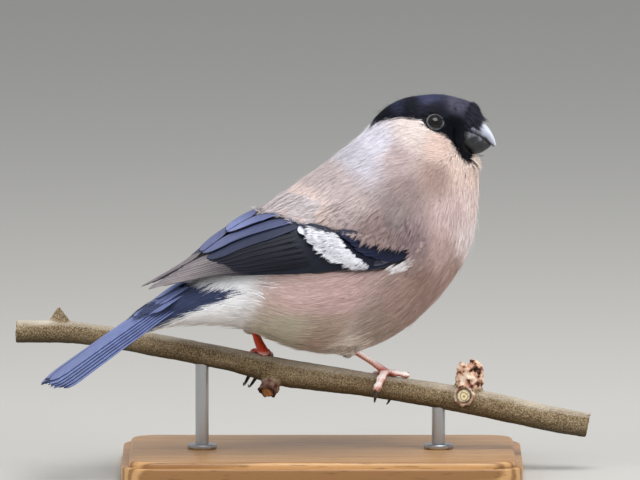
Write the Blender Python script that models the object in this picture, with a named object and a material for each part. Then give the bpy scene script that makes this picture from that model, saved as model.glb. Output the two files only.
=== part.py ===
"""Female Eurasian bullfinch gripping a short length of branch, life size, on a plain display stand.

Metres, +Z up, +X to the side the bill points to, +Y to the bird's far side.
The origin is the centre of the stand base's underside. Sizes below are in millimetres.
"""

import math
import random

import bmesh
import bpy
from mathutils import Matrix, Vector

MM = 0.001
GAP = 0.3  # left between pieces that touch

# The bird stands across the branch at this angle, and turns its head back by as much.
BODY_YAW = math.radians(20.0)
NECK_PIVOT = 28.1

# Cross-sections of the body from the rump to the face, in the bird's own frame: x and z of
# the back, x and z of the belly, half the width, and how far the neck has turned in degrees.
BODY_STATIONS = (
    (-47.7, 55.7, -46.5, 45.4, 7.5, 0),
    (-40.1, 59.0, -37.9, 44.8, 9.5, 0),
    (-31.8, 64.4, -28.7, 44.4, 13.5, 0),
    (-24.5, 71.4, -19.1, 41.1, 18.0, 0),
    (-17.2, 78.4, -9.6, 37.1, 21.3, 0),
    (-8.6, 85.0, 1.0, 35.1, 23.3, 0),
    (0.0, 90.7, 12.8, 35.6, 24.3, 0),
    (7.3, 95.6, 25.0, 41.2, 24.3, 0),
    (12.4, 99.3, 34.4, 48.6, 22.8, -3),
    (15.2, 101.8, 41.7, 57.0, 20.5, -7),
    (17.5, 105.0, 46.8, 66.8, 18.0, -11),
    (20.9, 108.2, 48.4, 77.5, 15.8, -15),
    (25.7, 110.7, 48.9, 86.1, 13.6, -18),
    (30.5, 111.6, 48.6, 91.3, 11.6, -20),
    (35.9, 112.1, 47.7, 92.9, 9.2, -20),
    (41.0, 111.5, 47.1, 94.3, 6.8, -20),
    (45.3, 109.4, 46.8, 95.2, 5.0, -20),
    (48.0, 107.0, 47.2, 95.8, 3.8, -20),
)
TORSO_END = 9.3  # station where the torso meets the neck
NECK_END = 11.2  # station where the neck meets the head
HEAD_TURN = -20.0
BODY_SIDES = 28

EYE_CENTRE = (35.7, 104.9)
EYE_BALL_RADIUS = 2.6
EYE_VISIBLE_RADIUS = 2.0
LID_THICKNESS = 0.5

# Bill: x and z of its ridge, of the line where its halves close, and half its width there.
UPPER_BILL = (
    (42.5, 107.2, 43.2, 101.6, 4.3),
    (46.5, 106.0, 45.8, 100.9, 4.3),
    (49.0, 104.6, 48.2, 100.0, 4.0),
    (51.0, 102.7, 50.0, 99.1, 3.2),
    (52.6, 100.6, 51.4, 98.2, 2.2),
    (53.6, 98.4, 52.5, 97.2, 1.2),
    (54.0, 96.7, 53.3, 96.5, 0.5),
)
LOWER_BILL = (
    (41.8, 95.4, 42.9, 101.3, 4.1),
    (44.5, 94.6, 45.5, 100.5, 4.1),
    (47.4, 93.9, 47.9, 99.6, 3.8),
    (49.8, 94.5, 49.8, 98.6, 3.0),
    (51.5, 95.6, 51.3, 97.7, 2.0),
    (52.6, 96.4, 52.2, 97.0, 1.0),
)
BILL_SIDES = 12
NOSTRIL_RADIUS = 0.6
NOSTRIL_PLACE = (48.4, 2.9, 103.4)

# Folded wing: x and z of its upper edge, x and z of its lower edge, distance of that edge
# from the bird's middle. It runs from the bend of the wing to the tips of the primaries.
WING_STATIONS = (
    (7.3, 95.9, 23.8, 67.6, 24.2),
    (0.0, 91.9, 10.5, 63.4, 25.7),
    (-8.6, 86.5, -2.1, 62.6, 25.8),
    (-17.2, 80.2, -14.1, 61.7, 23.8),
    (-24.5, 75.6, -24.5, 61.4, 20.3),
    (-31.8, 71.0, -32.5, 61.0, 16.0),
    (-37.9, 66.5, -38.3, 60.5, 12.0),
    (-43.6, 63.1, -45.0, 59.2, 8.5),
    (-49.9, 60.0, -51.7, 57.7, 6.0),
    (-56.3, 56.9, -57.3, 56.3, 4.0),
)
# Where the back feathers end on the wing: share of its length, share of the way down.
SCAPULAR_EDGE = (
    (0.0, 0.96),
    (0.06, 0.88),
    (0.21, 0.73),
    (0.29, 0.56),
    (0.33, 0.35),
    (0.38, 0.03),
    (0.52, 0.03),
    (0.7, 0.2),
    (0.88, 0.5),
    (1.0, 0.5),
)
WING_FREE = 0.4  # behind this share of its length the wing's edge stands clear of the back
WING_ROWS = (0.0, 0.06, 0.12, 0.18, 0.24, 0.28, 0.31, 0.33, 0.35, 0.38, 0.43, 0.5, 0.6, 0.7, 0.8, 0.88)
WING_DEPTH = 2.4
# Feathers of the folded wing, tier by tier from the lowest: how many, then the first one's
# root and tip and the last one's root and tip as shares of the wing, width, and height.
WING_TIERS = {
    "primaries": (7, (0.20, 0.94), (0.985, 0.80), (0.26, 0.84), (0.74, 0.46), 4.6, (0.0, 0.25)),
    "secondaries": (5, (0.26, 0.86), (0.70, 0.62), (0.28, 0.70), (0.665, 0.50), 4.8, (0.2, 0.5)),
    "tertials": (3, (0.28, 0.66), (0.69, 0.26), (0.34, 0.20), (0.53, 0.08), 6.8, (0.6, 0.9)),
    "primary coverts": (3, (0.05, 0.95), (0.25, 0.94), (0.07, 0.92), (0.19, 0.93), 3.2, (0.3, 0.5)),
    "coverts": (7, (0.06, 0.92), (0.215, 0.925), (0.24, 0.63), (0.315, 0.57), 5.0, (0.45, 0.95)),
}
VANE_OUTLINE = ((0.0, 0.55), (0.3, 0.92), (0.6, 1.0), (0.86, 0.85), (1.0, 0.34))
VANE_TIP = 0.86  # share of its length where a blade's tip starts to round off
VANE_PLACES = (0.29, 0.38, 0.5, 0.66)  # shares of the wing where its blades bend with it
TAIL_OUTLINE = ((0.0, 0.5), (0.4, 0.9), (0.8, 1.0), (0.95, 0.85), (1.0, 0.4))
VANE_THICKNESS = 0.6
VANE_TILT = 0.19
VANE_SINK = 0.8
VANE_SEED = 11

TAIL_ROOT_TOP = (-47.7, 55.7)
TAIL_TIP_TOP = (-88.2, 29.8)
TAIL_ROOT_HALF_WIDTH = 7.0
TAIL_TIP_HALF_WIDTH = 11.3
TAIL_CORE_END = 0.42
TAIL_PAIRS = 6
TAIL_FEATHER_WIDTH = 7.0
TAIL_DROP = 0.58  # each feather under the one nearer the middle
TAIL_NOTCH = 0.045
TAIL_COVERTS = ((0.30, 0.0), (0.26, 2.6), (0.26, -2.6), (0.21, 4.6), (0.21, -4.6))

# Legs in the world's frame: top of the thigh, where the bare leg starts, and the ankle.
LEGS = {
    "right": ((4.0, -2.5, 42.0), (9.3, -1.3, 35.0), (15.9, -0.5, 31.6)),
    "left": ((-21.5, 6.5, 47.0), (-20.6, 4.0, 40.8), (-19.2, 1.8, 38.5)),
}
THIGH_RADII = (3.8, 2.0)
LEG_RADIUS = 0.9
PAD_RADIUS = 1.9
PAD_X = {"right": 17.84, "left": -19.6}
TOE_RADII = (1.15, 0.9)
CLAW_RADII = (0.6, 0.14)
# Toes: where each starts and ends along the branch from the pad, then round it in degrees
# towards the viewer's side, and the same two ends for the claw.
TOES = {
    "right": (
        ((0.5, 4), (7.9, 8), (9.9, -24)),
        ((0.2, 20), (-1.6, 108), (-1.4, 160)),
        ((1.0, -25), (4.2, -112), (2.2, -168)),
        ((-0.3, -30), (-5.4, -86), (-6.6, -140)),
    ),
    "left": (
        ((-0.3, -26), (-0.7, -122), (-2.4, -186)),
        ((0.6, -22), (1.9, -118), (-0.6, -186)),
        ((0.9, -14), (4.7, -80), (5.0, -136)),
        ((-0.3, -16), (-4.2, -84), (-5.6, -140)),
    ),
}

# Branch: x and z of its middle and its radius.
BRANCH_STATIONS = (
    (-92.0, 41.4, 3.5),
    (-72.0, 40.8, 3.3),
    (-47.0, 36.8, 3.45),
    (-24.0, 32.3, 3.6),
    (-12.0, 28.9, 4.25),
    (16.0, 25.0, 3.65),
    (46.0, 20.0, 4.0),
    (80.0, 13.1, 3.8),
)
BRANCH_SIDES = 14
THORN = (-78.8, 48.8)
THORN_BASE = (5.6, 2.4)
THORN_SIDES = 10
STUB_END = (-16.5, -4.2, 23.0)
STUB_RADII = (3.4, 2.6)
KNOB_TIPS = ((42.6, -0.8, 31.6), (45.8, 0.8, 32.3))
KNOB_RADII = (3.0, 2.3)
BRANCH_KNOB = 44.2  # where both lobes of the knob come out of the branch
KNOB_TWIG = (42.5, -5.4, 22.6)
KNOB_TWIG_RADIUS = 3.2

BASE_SIZE = (120.0, 76.0, 6.0)
BASE_CORNER = 10.0
BASE_EDGE = 1.0
ROD_RADIUS = 2.0
ROD_PLACES = {"left": -36.0, "right": 35.0}


def clear_scene():
    for obj in list(bpy.data.objects):
        bpy.data.objects.remove(obj)


def material(name, colour, roughness, metallic=0.0):
    made = bpy.data.materials.new(name)
    made.use_nodes = True
    shader = made.node_tree.nodes["Principled BSDF"]
    shader.inputs["Base Color"].default_value = (*colour, 1.0)
    shader.inputs["Roughness"].default_value = roughness
    shader.inputs["Metallic"].default_value = metallic
    return made


def mesh_object(name, points, faces, finish=None):
    """A closed mesh from points in millimetres, with its faces turned outwards."""
    mesh = bpy.data.meshes.new(name)
    mesh.from_pydata([Vector(p) * MM for p in points], [], faces)
    shape = bmesh.new()
    shape.from_mesh(mesh)
    bmesh.ops.recalc_face_normals(shape, faces=shape.faces)
    shape.to_mesh(mesh)
    shape.free()
    made = bpy.data.objects.new(name, mesh)
    bpy.context.scene.collection.objects.link(made)
    if finish:
        dress(made, finish)
    return made


def dress(made, finish):
    made.data.materials.clear()
    made.data.materials.append(finish)
    made.data.shade_smooth()
    made.data.set_sharp_from_angle(angle=math.radians(40))


def loft(name, rings, finish=None):
    """Joins rings of equal count into a closed skin with a flat face at each end."""
    sides = len(rings[0])
    points = [p for ring in rings for p in ring]
    faces = [tuple(range(sides)), tuple(range(len(points) - sides, len(points)))]
    for row in range(len(rings) - 1):
        for i in range(sides):
            a = row * sides + i
            b = row * sides + (i + 1) % sides
            faces.append((a, b, b + sides, a + sides))
    return mesh_object(name, points, faces, finish)


def boolean(target, tools, operation, solver="EXACT"):
    """Applies one Boolean with a list of closed meshes, then removes those meshes."""
    group = bpy.data.collections.new("tools")
    bpy.context.scene.collection.children.link(group)
    for tool in tools:
        bpy.context.scene.collection.objects.unlink(tool)
        group.objects.link(tool)
    change = target.modifiers.new("join", "BOOLEAN")
    change.operation = operation
    change.operand_type = "COLLECTION"
    change.collection = group
    change.solver = solver
    bpy.context.view_layer.objects.active = target
    bpy.ops.object.modifier_apply(modifier=change.name)
    for tool in tools:
        bpy.data.objects.remove(tool)
    bpy.data.collections.remove(group)
    keep_largest(target)


def keep_largest(target):
    """Leaves only the largest closed surface of a mesh."""
    shape = bmesh.new()
    shape.from_mesh(target.data)
    shape.verts.ensure_lookup_table()
    unseen = set(shape.verts)
    islands = []
    while unseen:
        island = set()
        edge = [unseen.pop()]
        while edge:
            vert = edge.pop()
            island.add(vert)
            for link in vert.link_edges:
                other = link.other_vert(vert)
                if other in unseen:
                    unseen.discard(other)
                    edge.append(other)
        islands.append(island)
    islands.sort(key=len, reverse=True)
    spare = [vert for island in islands[1:] for vert in island]
    bmesh.ops.delete(shape, geom=spare, context="VERTS")
    shape.to_mesh(target.data)
    shape.free()


def blended(table, place):
    """Reads a table of stations between its rows on a smooth curve."""
    place = min(max(place, 0.0), len(table) - 1.0)
    row = min(int(place), len(table) - 2)
    part = place - row
    before = table[max(row - 1, 0)]
    after = table[min(row + 2, len(table) - 1)]
    values = []
    for p, a, b, q in zip(before, table[row], table[row + 1], after):
        bend = (2 * p - 5 * a + 4 * b - q) * part**2 + (3 * (a - b) + q - p) * part**3
        values.append(a + 0.5 * ((b - p) * part + bend))
    return values


def spaced(first, last, count):
    return [first + (last - first) * i / (count - 1) for i in range(count)]


def placed(x, side, z, turn=0.0):
    """A point of the bird's own frame, with the neck's turn, in the world's frame."""
    angle = math.radians(turn)
    reach = x - NECK_PIVOT
    along = NECK_PIVOT + reach * math.cos(angle) - side * math.sin(angle)
    across = reach * math.sin(angle) + side * math.cos(angle)
    if not turn:
        along, across = x, side
    cos, sin = math.cos(BODY_YAW), math.sin(BODY_YAW)
    return Vector((along * cos - across * sin, along * sin + across * cos, z))


def body_ring(station, shift=0.0):
    """One cross-section of the body; shift moves it forward off its own plane."""
    back_x, back_z, belly_x, belly_z, half_width, turn = blended(BODY_STATIONS, station)
    middle = Vector(((back_x + belly_x) / 2, 0, (back_z + belly_z) / 2))
    half = Vector((back_x, 0, back_z)) - middle
    forward = Vector((half.z, 0, -half.x)).normalized()
    ring = []
    for i in range(BODY_SIDES):
        angle = math.tau * i / BODY_SIDES
        point = middle + half * math.cos(angle) + forward * shift
        ring.append(placed(point.x, half_width * math.sin(angle), point.z, turn))
    return ring


def body_piece(name, first, last, count, finish, shift=0.0):
    stations = spaced(first, last, count)
    rings = [body_ring(stations[0], shift)]
    rings += [body_ring(station) for station in stations[1:]]
    return loft(name, rings, finish)


def sphere(name, centre, radius, segments=16, rings=10):
    shape = bmesh.new()
    bmesh.ops.create_uvsphere(shape, u_segments=segments, v_segments=rings, radius=radius)
    mesh = bpy.data.meshes.new(name)
    shape.to_mesh(mesh)
    shape.free()
    mesh.transform(Matrix.Rotation(math.pi / 2, 4, "X"))
    mesh.transform(Matrix.Translation(centre))
    mesh.transform(Matrix.Scale(MM, 4))
    made = bpy.data.objects.new(name, mesh)
    bpy.context.scene.collection.objects.link(made)
    return made


def tube(name, path, radii, sides=8, finish=None, flat=1.0):
    """A closed tube along a path; flat squeezes it along its second side."""
    rings = []
    side = None
    for i, point in enumerate(path):
        ahead = path[min(i + 1, len(path) - 1)] - path[max(i - 1, 0)]
        ahead.normalize()
        if side is None:
            guide = Vector((0, 0, 1)) if abs(ahead.z) < 0.8 else Vector((0, 1, 0))
            side = ahead.cross(guide).normalized()
        side = (side - ahead * side.dot(ahead)).normalized()
        over = ahead.cross(side)
        ring = []
        for k in range(sides):
            angle = math.tau * k / sides
            ring.append(point + radii[i] * (side * math.cos(angle) + over * flat * math.sin(angle)))
        rings.append(ring)
    return loft(name, rings, finish)


def head_point(x, side, z):
    return placed(x, side, z, HEAD_TURN)


def skin_offset(x, z):
    """Half the head's width at a place of its side view."""
    best = None
    for station in spaced(NECK_END, len(BODY_STATIONS) - 1, 80):
        back_x, back_z, belly_x, belly_z, half_width, _ = blended(BODY_STATIONS, station)
        rise = Vector((back_x - belly_x, back_z - belly_z))
        from_belly = Vector((x - belly_x, z - belly_z))
        share = from_belly.dot(rise) / rise.length_squared
        miss = (from_belly - rise * share).length
        if best is None or miss < best[0]:
            best = (miss, half_width * math.sqrt(max(1 - (2 * share - 1) ** 2, 0)))
    return best[1]


def skin_normal(x, z):
    """Which way the head's side faces, with the second value away from its middle."""
    step = 0.6
    ahead = skin_offset(x + step, z) - skin_offset(x - step, z)
    above = skin_offset(x, z + step) - skin_offset(x, z - step)
    return Vector((-ahead, 2 * step, -above)).normalized()


def eye_centre(side):
    """The ball is sunk so that its visible disc has the size between the lids."""
    x, z = EYE_CENTRE
    sunk = math.sqrt(EYE_BALL_RADIUS**2 - EYE_VISIBLE_RADIUS**2) + 0.25
    inward = skin_normal(x, z) * -sunk
    return head_point(x + inward.x, side * (skin_offset(x, z) + inward.y), z + inward.z)


def lid(side):
    """The rim of the eye: a thin ring that stands a little out of the head."""
    eye_x, eye_z = EYE_CENTRE
    outward = skin_normal(eye_x, eye_z)
    middle = Vector((eye_x, skin_offset(eye_x, eye_z), eye_z))
    level = outward.cross(Vector((0, 0, 1))).normalized()
    upright = level.cross(outward)
    turns = 14
    across = 6
    points = []
    for i in range(turns):
        angle = math.tau * i / turns
        spoke = level * math.cos(angle) + upright * math.sin(angle)
        for k in range(across):
            bend = math.tau * k / across
            reach = EYE_VISIBLE_RADIUS + LID_THICKNESS * (1 + math.cos(bend))
            lift = LID_THICKNESS * math.sin(bend) - 0.1
            point = middle + spoke * reach + outward * lift
            points.append(head_point(point.x, side * point.y, point.z))
    faces = []
    for i in range(turns):
        for k in range(across):
            a = i * across + k
            b = i * across + (k + 1) % across
            step = ((i + 1) % turns - i) * across
            faces.append((a, b, b + step, a + step))
    return mesh_object("lid", points, faces)


def bill_half(name, table, grow=0.0, finish=None):
    """One half of the bill: a half round over the flat where the two halves close."""
    rings = []
    steps = BILL_SIDES // 2
    for place in spaced(0, len(table) - 1, 2 * len(table) - 1):
        ridge_x, ridge_z, close_x, close_z, half_width = blended(table, place)
        rise = Vector((ridge_x - close_x, ridge_z - close_z))
        rise *= (rise.length + grow) / rise.length
        width = half_width + grow
        ring = []
        for i in range(steps + 1):
            angle = math.pi * (i / steps - 0.5)
            lift = math.cos(angle)
            side = width * math.sin(angle)
            ring.append(head_point(close_x + rise.x * lift, side, close_z + rise.y * lift))
        inward = rise.normalized() * -grow
        for share in (0.5, 0.0, -0.5):
            ring.append(head_point(close_x + inward.x, width * share, close_z + inward.y))
        rings.append(ring)
    return loft(name, rings, finish)


def bill_upper(finish):
    """The upper half with its two nostrils, which lie under the bristles of the forehead."""
    made = bill_half("bill_upper", UPPER_BILL, 0.0, finish)
    x, side, z = NOSTRIL_PLACE
    holes = []
    for sign in (1, -1):
        holes.append(sphere("cutter", head_point(x, sign * side, z), NOSTRIL_RADIUS, 10, 6))
    boolean(made, holes, "DIFFERENCE")
    dress(made, finish)
    return made


def wing_point(along, down, out, side, nearest=0.5):
    """A point on the folded wing: share of its length, share of the way down, height."""
    top_x, top_z, low_x, low_z, width = blended(WING_STATIONS, along * (len(WING_STATIONS) - 1))
    angle = down * math.pi / 2
    x = top_x + (low_x - top_x) * (1 - math.cos(angle))
    across = width * math.sin(angle)
    z = low_z + (top_z - low_z) * math.cos(angle)
    normal = Vector((math.sin(angle) * (top_z - low_z), math.cos(angle) * width)).normalized()
    across = max(across + normal.x * out, nearest)
    return placed(x, side * across, z + normal.y * out)


def read_edge(table, place):
    """Straight-line reading of an edge given as pairs."""
    for (x0, y0), (x1, y1) in zip(table, table[1:]):
        if place <= x1:
            return y0 + (y1 - y0) * (place - x0) / (x1 - x0)
    return table[-1][1]


def wing_rise(along):
    """The wing lies a little under the plumage at its bend and level with it behind."""
    return -1.0 + min(along / 0.35, 1.0)


def wing_arc(along):
    """Length of the wing's curve from its upper edge to its lower edge."""
    _, top_z, _, low_z, width = blended(WING_STATIONS, along * (len(WING_STATIONS) - 1))
    return math.pi / 2 * math.sqrt((width**2 + (top_z - low_z) ** 2) / 2)


def wing_shell(name, side, grow=0.0, finish=None):
    """The wing's core. Grown, it is the cutter of the hollow in the torso that it lies in."""
    rings = []
    for along in WING_ROWS:
        spread = grow * 2.5 / wing_arc(along)
        base = wing_rise(along)
        rise = base + (6.0 if grow else 0.0)
        depth = WING_DEPTH * (1 - 0.62 * along) + grow * 1.6
        downs = spaced(read_edge(SCAPULAR_EDGE, along) - spread, 1.0 + spread, 8)
        nearest = -1.0 if grow else 0.5
        outer = [wing_point(along, down, rise, side, nearest) for down in downs]
        inner = [wing_point(along, down, base - depth, side, nearest) for down in reversed(downs)]
        rings.append(outer + inner)
    if grow:
        for ring, behind in ((0, 1), (-1, -2)):
            run = (rings[ring][0] - rings[behind][0]).normalized() * grow * 1.5
            rings[ring] = [point + run for point in rings[ring]]
    return loft(name, rings, finish)


def vane(sections):
    """A feather's blade from sections of three top and three bottom points each."""
    points = [point for section in sections for point in section]
    last = len(points) - 6
    faces = [(0, 1, 4), (0, 4, 5), (1, 2, 3), (1, 3, 4)]
    faces += [(last, last + 1, last + 4), (last, last + 4, last + 5)]
    faces += [(last + 1, last + 2, last + 3), (last + 1, last + 3, last + 4)]
    for row in range(len(sections) - 1):
        a = row * 6
        b = a + 6
        for left, right in ((0, 1), (1, 2), (5, 4), (4, 3), (2, 3), (5, 0)):
            faces.append((a + left, a + right, b + right))
            faces.append((a + left, b + right, b + left))
    return mesh_object("vane", points, faces)


def wing_vane(side, root, tip, width, height):
    """A blade laid on the wing: its upper edge sunk under its neighbour, its lower raised."""
    run = tip[0] - root[0]
    bends = [(place - root[0]) / run for place in VANE_PLACES]
    shares = [0.0] + [share for share in bends if 0.1 < share < VANE_TIP - 0.1] + [VANE_TIP, 1.0]
    sections = []
    for share in shares:
        along = root[0] + run * share
        down = root[1] + (tip[1] - root[1]) * share
        half = width * read_edge(VANE_OUTLINE, share) / 2
        rise = wing_rise(along) + height - VANE_SINK * (1 - share) ** 3
        thickness = VANE_THICKNESS * (1.0 if share < 1.0 else 0.6)
        highest = read_edge(SCAPULAR_EDGE, along) if along < WING_FREE else 0.0
        top, bottom = [], []
        for edge in (-1, 0, 1):
            place = min(max(down + edge * half / wing_arc(along), highest), 1.0)
            out = rise + edge * half * VANE_TILT + (0.12 if edge == 0 else 0.0)
            top.append(wing_point(along, place, out, side))
            bottom.append(wing_point(along, place, out - thickness, side))
        sections.append(top + bottom[::-1])
    return vane(sections)


def wing(name, side, finish):
    """The core with its tiers of feathers fused on."""
    made = wing_shell(name, side, 0.0, finish)
    chance = random.Random(VANE_SEED)
    pieces = []
    for count, root, tip, last_root, last_tip, width, heights in WING_TIERS.values():
        for i in range(count):
            share = i / (count - 1)
            start = [a + (b - a) * share for a, b in zip(root, last_root)]
            end = [a + (b - a) * share for a, b in zip(tip, last_tip)]
            end[0] += chance.uniform(-0.006, 0.006)
            height = heights[0] + (heights[1] - heights[0]) * share
            pieces.append(wing_vane(side, start, end, width * chance.uniform(0.95, 1.05), height))
    boolean(made, pieces, "UNION", "MANIFOLD")
    dress(made, finish)
    return made


def tail_point(share, across, lift):
    root = Vector((TAIL_ROOT_TOP[0], 0, TAIL_ROOT_TOP[1]))
    along = Vector((TAIL_TIP_TOP[0], 0, TAIL_TIP_TOP[1])) - root
    up = Vector((-along.z, 0, along.x)).normalized() * -1
    point = root + along * share + up * lift
    return placed(point.x, across, point.z)


def tail_core(finish):
    """The flesh and the long coverts at the root of the tail, which carry its feathers."""
    rings = [body_ring(0.0, -GAP)]
    for share in (0.12, 0.2, 0.28, 0.36, TAIL_CORE_END):
        half_width = TAIL_ROOT_HALF_WIDTH * (1 - 0.55 * share / TAIL_CORE_END)
        under = 9.6 * (1 - share / TAIL_CORE_END) ** 0.8 + 1.2
        ring = []
        for i in range(BODY_SIDES):
            angle = math.tau * i / BODY_SIDES
            lift = (math.cos(angle) - 1) * under / 2 - 0.8
            ring.append(tail_point(share, half_width * math.sin(angle), lift))
        rings.append(ring)
    return loft("tail", rings, finish)


def tail_vane(start, end, across, end_across, width, lift, outer):
    sections = []
    for share, fullness in TAIL_OUTLINE:
        place = start + (end - start) * share
        middle = across + (end_across - across) * share
        half = width * (0.7 + 0.3 * share) * fullness / 2
        rise = lift - 0.8 * (1 - share) ** 4
        thickness = VANE_THICKNESS * (1.0 if share < 0.95 else 0.7)
        top, bottom = [], []
        for edge in (-1, 0, 1):
            tilt = -edge * outer * half * 0.06 + (0.12 if edge == 0 else 0.0)
            top.append(tail_point(place, middle + edge * half, rise + tilt))
            bottom.append(tail_point(place, middle + edge * half, rise + tilt - thickness))
        sections.append(top + bottom[::-1])
    return vane(sections)


def tail(finish):
    made = tail_core(finish)
    chance = random.Random(VANE_SEED)
    pieces = []
    reach = TAIL_TIP_HALF_WIDTH - TAIL_FEATHER_WIDTH / 2
    for outer in (1, -1):
        for pair in range(TAIL_PAIRS):
            share = pair / (TAIL_PAIRS - 1)
            end = 1.0 - TAIL_NOTCH * (1 - math.sin(math.pi * min(share + 0.15, 1.0)))
            end += chance.uniform(-0.004, 0.004)
            across = outer * (1.4 + 2.6 * share)
            end_across = outer * (2.0 + (reach - 2.0) * share)
            lift = -TAIL_DROP * pair - (0.2 if outer > 0 else 0.0)
            pieces.append(tail_vane(0.05, end, across, end_across, TAIL_FEATHER_WIDTH, lift, outer))
    for end, across in TAIL_COVERTS:
        outer = 1 if across > 0 else -1
        lift = 0.5 - abs(across) * 0.3
        pieces.append(tail_vane(0.055, end, across * 0.7, across, 4.4, lift, outer))
    boolean(made, pieces, "UNION", "MANIFOLD")
    dress(made, finish)
    return made


def branch_at(x):
    """Middle height, radius and upward direction of the branch at a place along it."""
    for row, (first, second) in enumerate(zip(BRANCH_STATIONS, BRANCH_STATIONS[1:])):
        if x <= second[0] or row == len(BRANCH_STATIONS) - 2:
            place = row + (x - first[0]) / (second[0] - first[0])
            break
    _, z, radius = blended(BRANCH_STATIONS, place)
    ahead = blended(BRANCH_STATIONS, place + 0.05)
    behind = blended(BRANCH_STATIONS, place - 0.05)
    run = Vector((ahead[0] - behind[0], 0, ahead[1] - behind[1])).normalized()
    return z, radius, Vector((-run.z, 0, run.x))


def branch_point(x, angle, out):
    """A point round the branch; angle is in degrees from its top towards the viewer."""
    z, radius, up = branch_at(x)
    turn = math.radians(angle)
    near = Vector((0, -1, 0))
    return Vector((x, 0, z)) + (up * math.cos(turn) + near * math.sin(turn)) * (radius + out)


def branch(name, grow=0.0, finish=None):
    rings = []
    for x in spaced(BRANCH_STATIONS[0][0], BRANCH_STATIONS[-1][0], 30):
        rings.append([branch_point(x, 360.0 * i / BRANCH_SIDES, grow) for i in range(BRANCH_SIDES)])
    return loft(name, rings, finish)


def thorn():
    """A low cone on the branch, longer along it than across."""
    x, top_z = THORN
    z, _, _ = branch_at(x)
    rings = []
    for share, middle in ((1.0, (x, 0, z)), (0.62, (x, 0, z + 3.0)), (0.08, (x - 0.2, 0, top_z))):
        ring = []
        for i in range(THORN_SIDES):
            angle = math.tau * i / THORN_SIDES
            spoke = Vector((THORN_BASE[0] * math.cos(angle), THORN_BASE[1] * math.sin(angle), 0))
            ring.append(Vector(middle) + spoke * share)
        rings.append(ring)
    return loft("thorn", rings)


def knob():
    """Two lobes of an old bud and the stump of a twig cut off in front of them."""
    pieces = []
    for x, y, top_z in KNOB_TIPS:
        z, _, _ = branch_at(x)
        root = Vector(((x + BRANCH_KNOB) / 2, 0, z))
        top = Vector((x, y, top_z))
        middle = (root + top) / 2
        below = top + (middle - top) * 0.22
        radii = (KNOB_RADII[0], KNOB_RADII[0], KNOB_RADII[1], KNOB_RADII[1] * 0.55)
        pieces.append(tube("lobe", [root, middle, below, top], radii, 10))
    twig_end = Vector(KNOB_TWIG)
    twig_root = twig_end + Vector((0.8, 6.4, -1.4))
    pieces.append(tube("twig", [twig_root, twig_end], (KNOB_TWIG_RADIUS, KNOB_TWIG_RADIUS), 12))
    return pieces


def perch(finish):
    made = branch("perch", 0.0, finish)
    stub_x = STUB_END[0] + 2.5
    stub_z, _, _ = branch_at(stub_x)
    stub = tube("stub", [Vector((stub_x, 0.5, stub_z)), Vector(STUB_END)], STUB_RADII, 12)
    boolean(made, [thorn(), stub] + knob(), "UNION")
    dress(made, finish)
    return made


def toe(pad_x, marks):
    """A toe laid round the branch with its claw, as two tubes that overlap."""
    (x0, a0), (x1, a1), (x2, a2) = marks
    path, radii = [], []
    steps = 6
    for i in range(steps + 1):
        share = i / steps
        radius = TOE_RADII[0] + (TOE_RADII[1] - TOE_RADII[0]) * share
        x = pad_x + x0 + (x1 - x0) * share
        path.append(branch_point(x, a0 + (a1 - a0) * share, radius + GAP))
        radii.append(radius * (1.0 if i % 2 == 0 else 0.88))
    pieces = [tube("toe", path, radii, 7)]
    path, radii = [], []
    steps = 4
    for i in range(steps + 1):
        share = i / steps
        radius = CLAW_RADII[0] + (CLAW_RADII[1] - CLAW_RADII[0]) * share
        start = 0.12
        x = x1 + (x2 - x1) * share - (x1 - x0) * start * (1 - share)
        angle = a1 + (a2 - a1) * share - (a1 - a0) * start * (1 - share)
        lift = 0.75 * math.sin(math.pi * share) * (1 - 0.3 * share)
        path.append(branch_point(pad_x + x, angle, radius + GAP + 0.1 + lift))
        radii.append(radius)
    pieces.append(tube("claw", path, radii, 6))
    return pieces


def foot(name, side, finish):
    _, leg_top, ankle = (Vector(p) for p in LEGS[side])
    down = (ankle - leg_top).normalized()
    start = ankle + down * GAP
    end = branch_point(PAD_X[side], 0, 1.2 + GAP)
    path = [start, (start + end) / 2, end + Vector((0, 0, 0.3)), end - Vector((0, 0, 0.7))]
    made = tube(name, path, (LEG_RADIUS * 1.1, 1.3, PAD_RADIUS, PAD_RADIUS * 0.7), 10, finish)
    pieces = [piece for marks in TOES[side] for piece in toe(PAD_X[side], marks)]
    boolean(made, pieces, "UNION", "MANIFOLD")
    dress(made, finish)
    return made


def leg(name, side, finish):
    _, leg_top, ankle = (Vector(p) for p in LEGS[side])
    down = (ankle - leg_top).normalized()
    start = leg_top + down * GAP
    middle = (start + ankle) / 2
    radii = (LEG_RADIUS * 1.1, LEG_RADIUS * 0.92, LEG_RADIUS * 1.1)
    return tube(name, [start, middle, ankle], radii, 10, finish)


def thigh(name, side, grow=0.0, finish=None):
    top, low, ankle = (Vector(p) for p in LEGS[side])
    down = (ankle - low).normalized()
    bend = low - down * 0.8
    end = low + down * grow
    path = [top, (top + bend) / 2, bend, end]
    radii = [THIGH_RADII[0], THIGH_RADII[0] * 0.85, THIGH_RADII[1] * 1.1, THIGH_RADII[1] * 0.75]
    return tube(name, path, [r + grow for r in radii], 12, finish)


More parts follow.
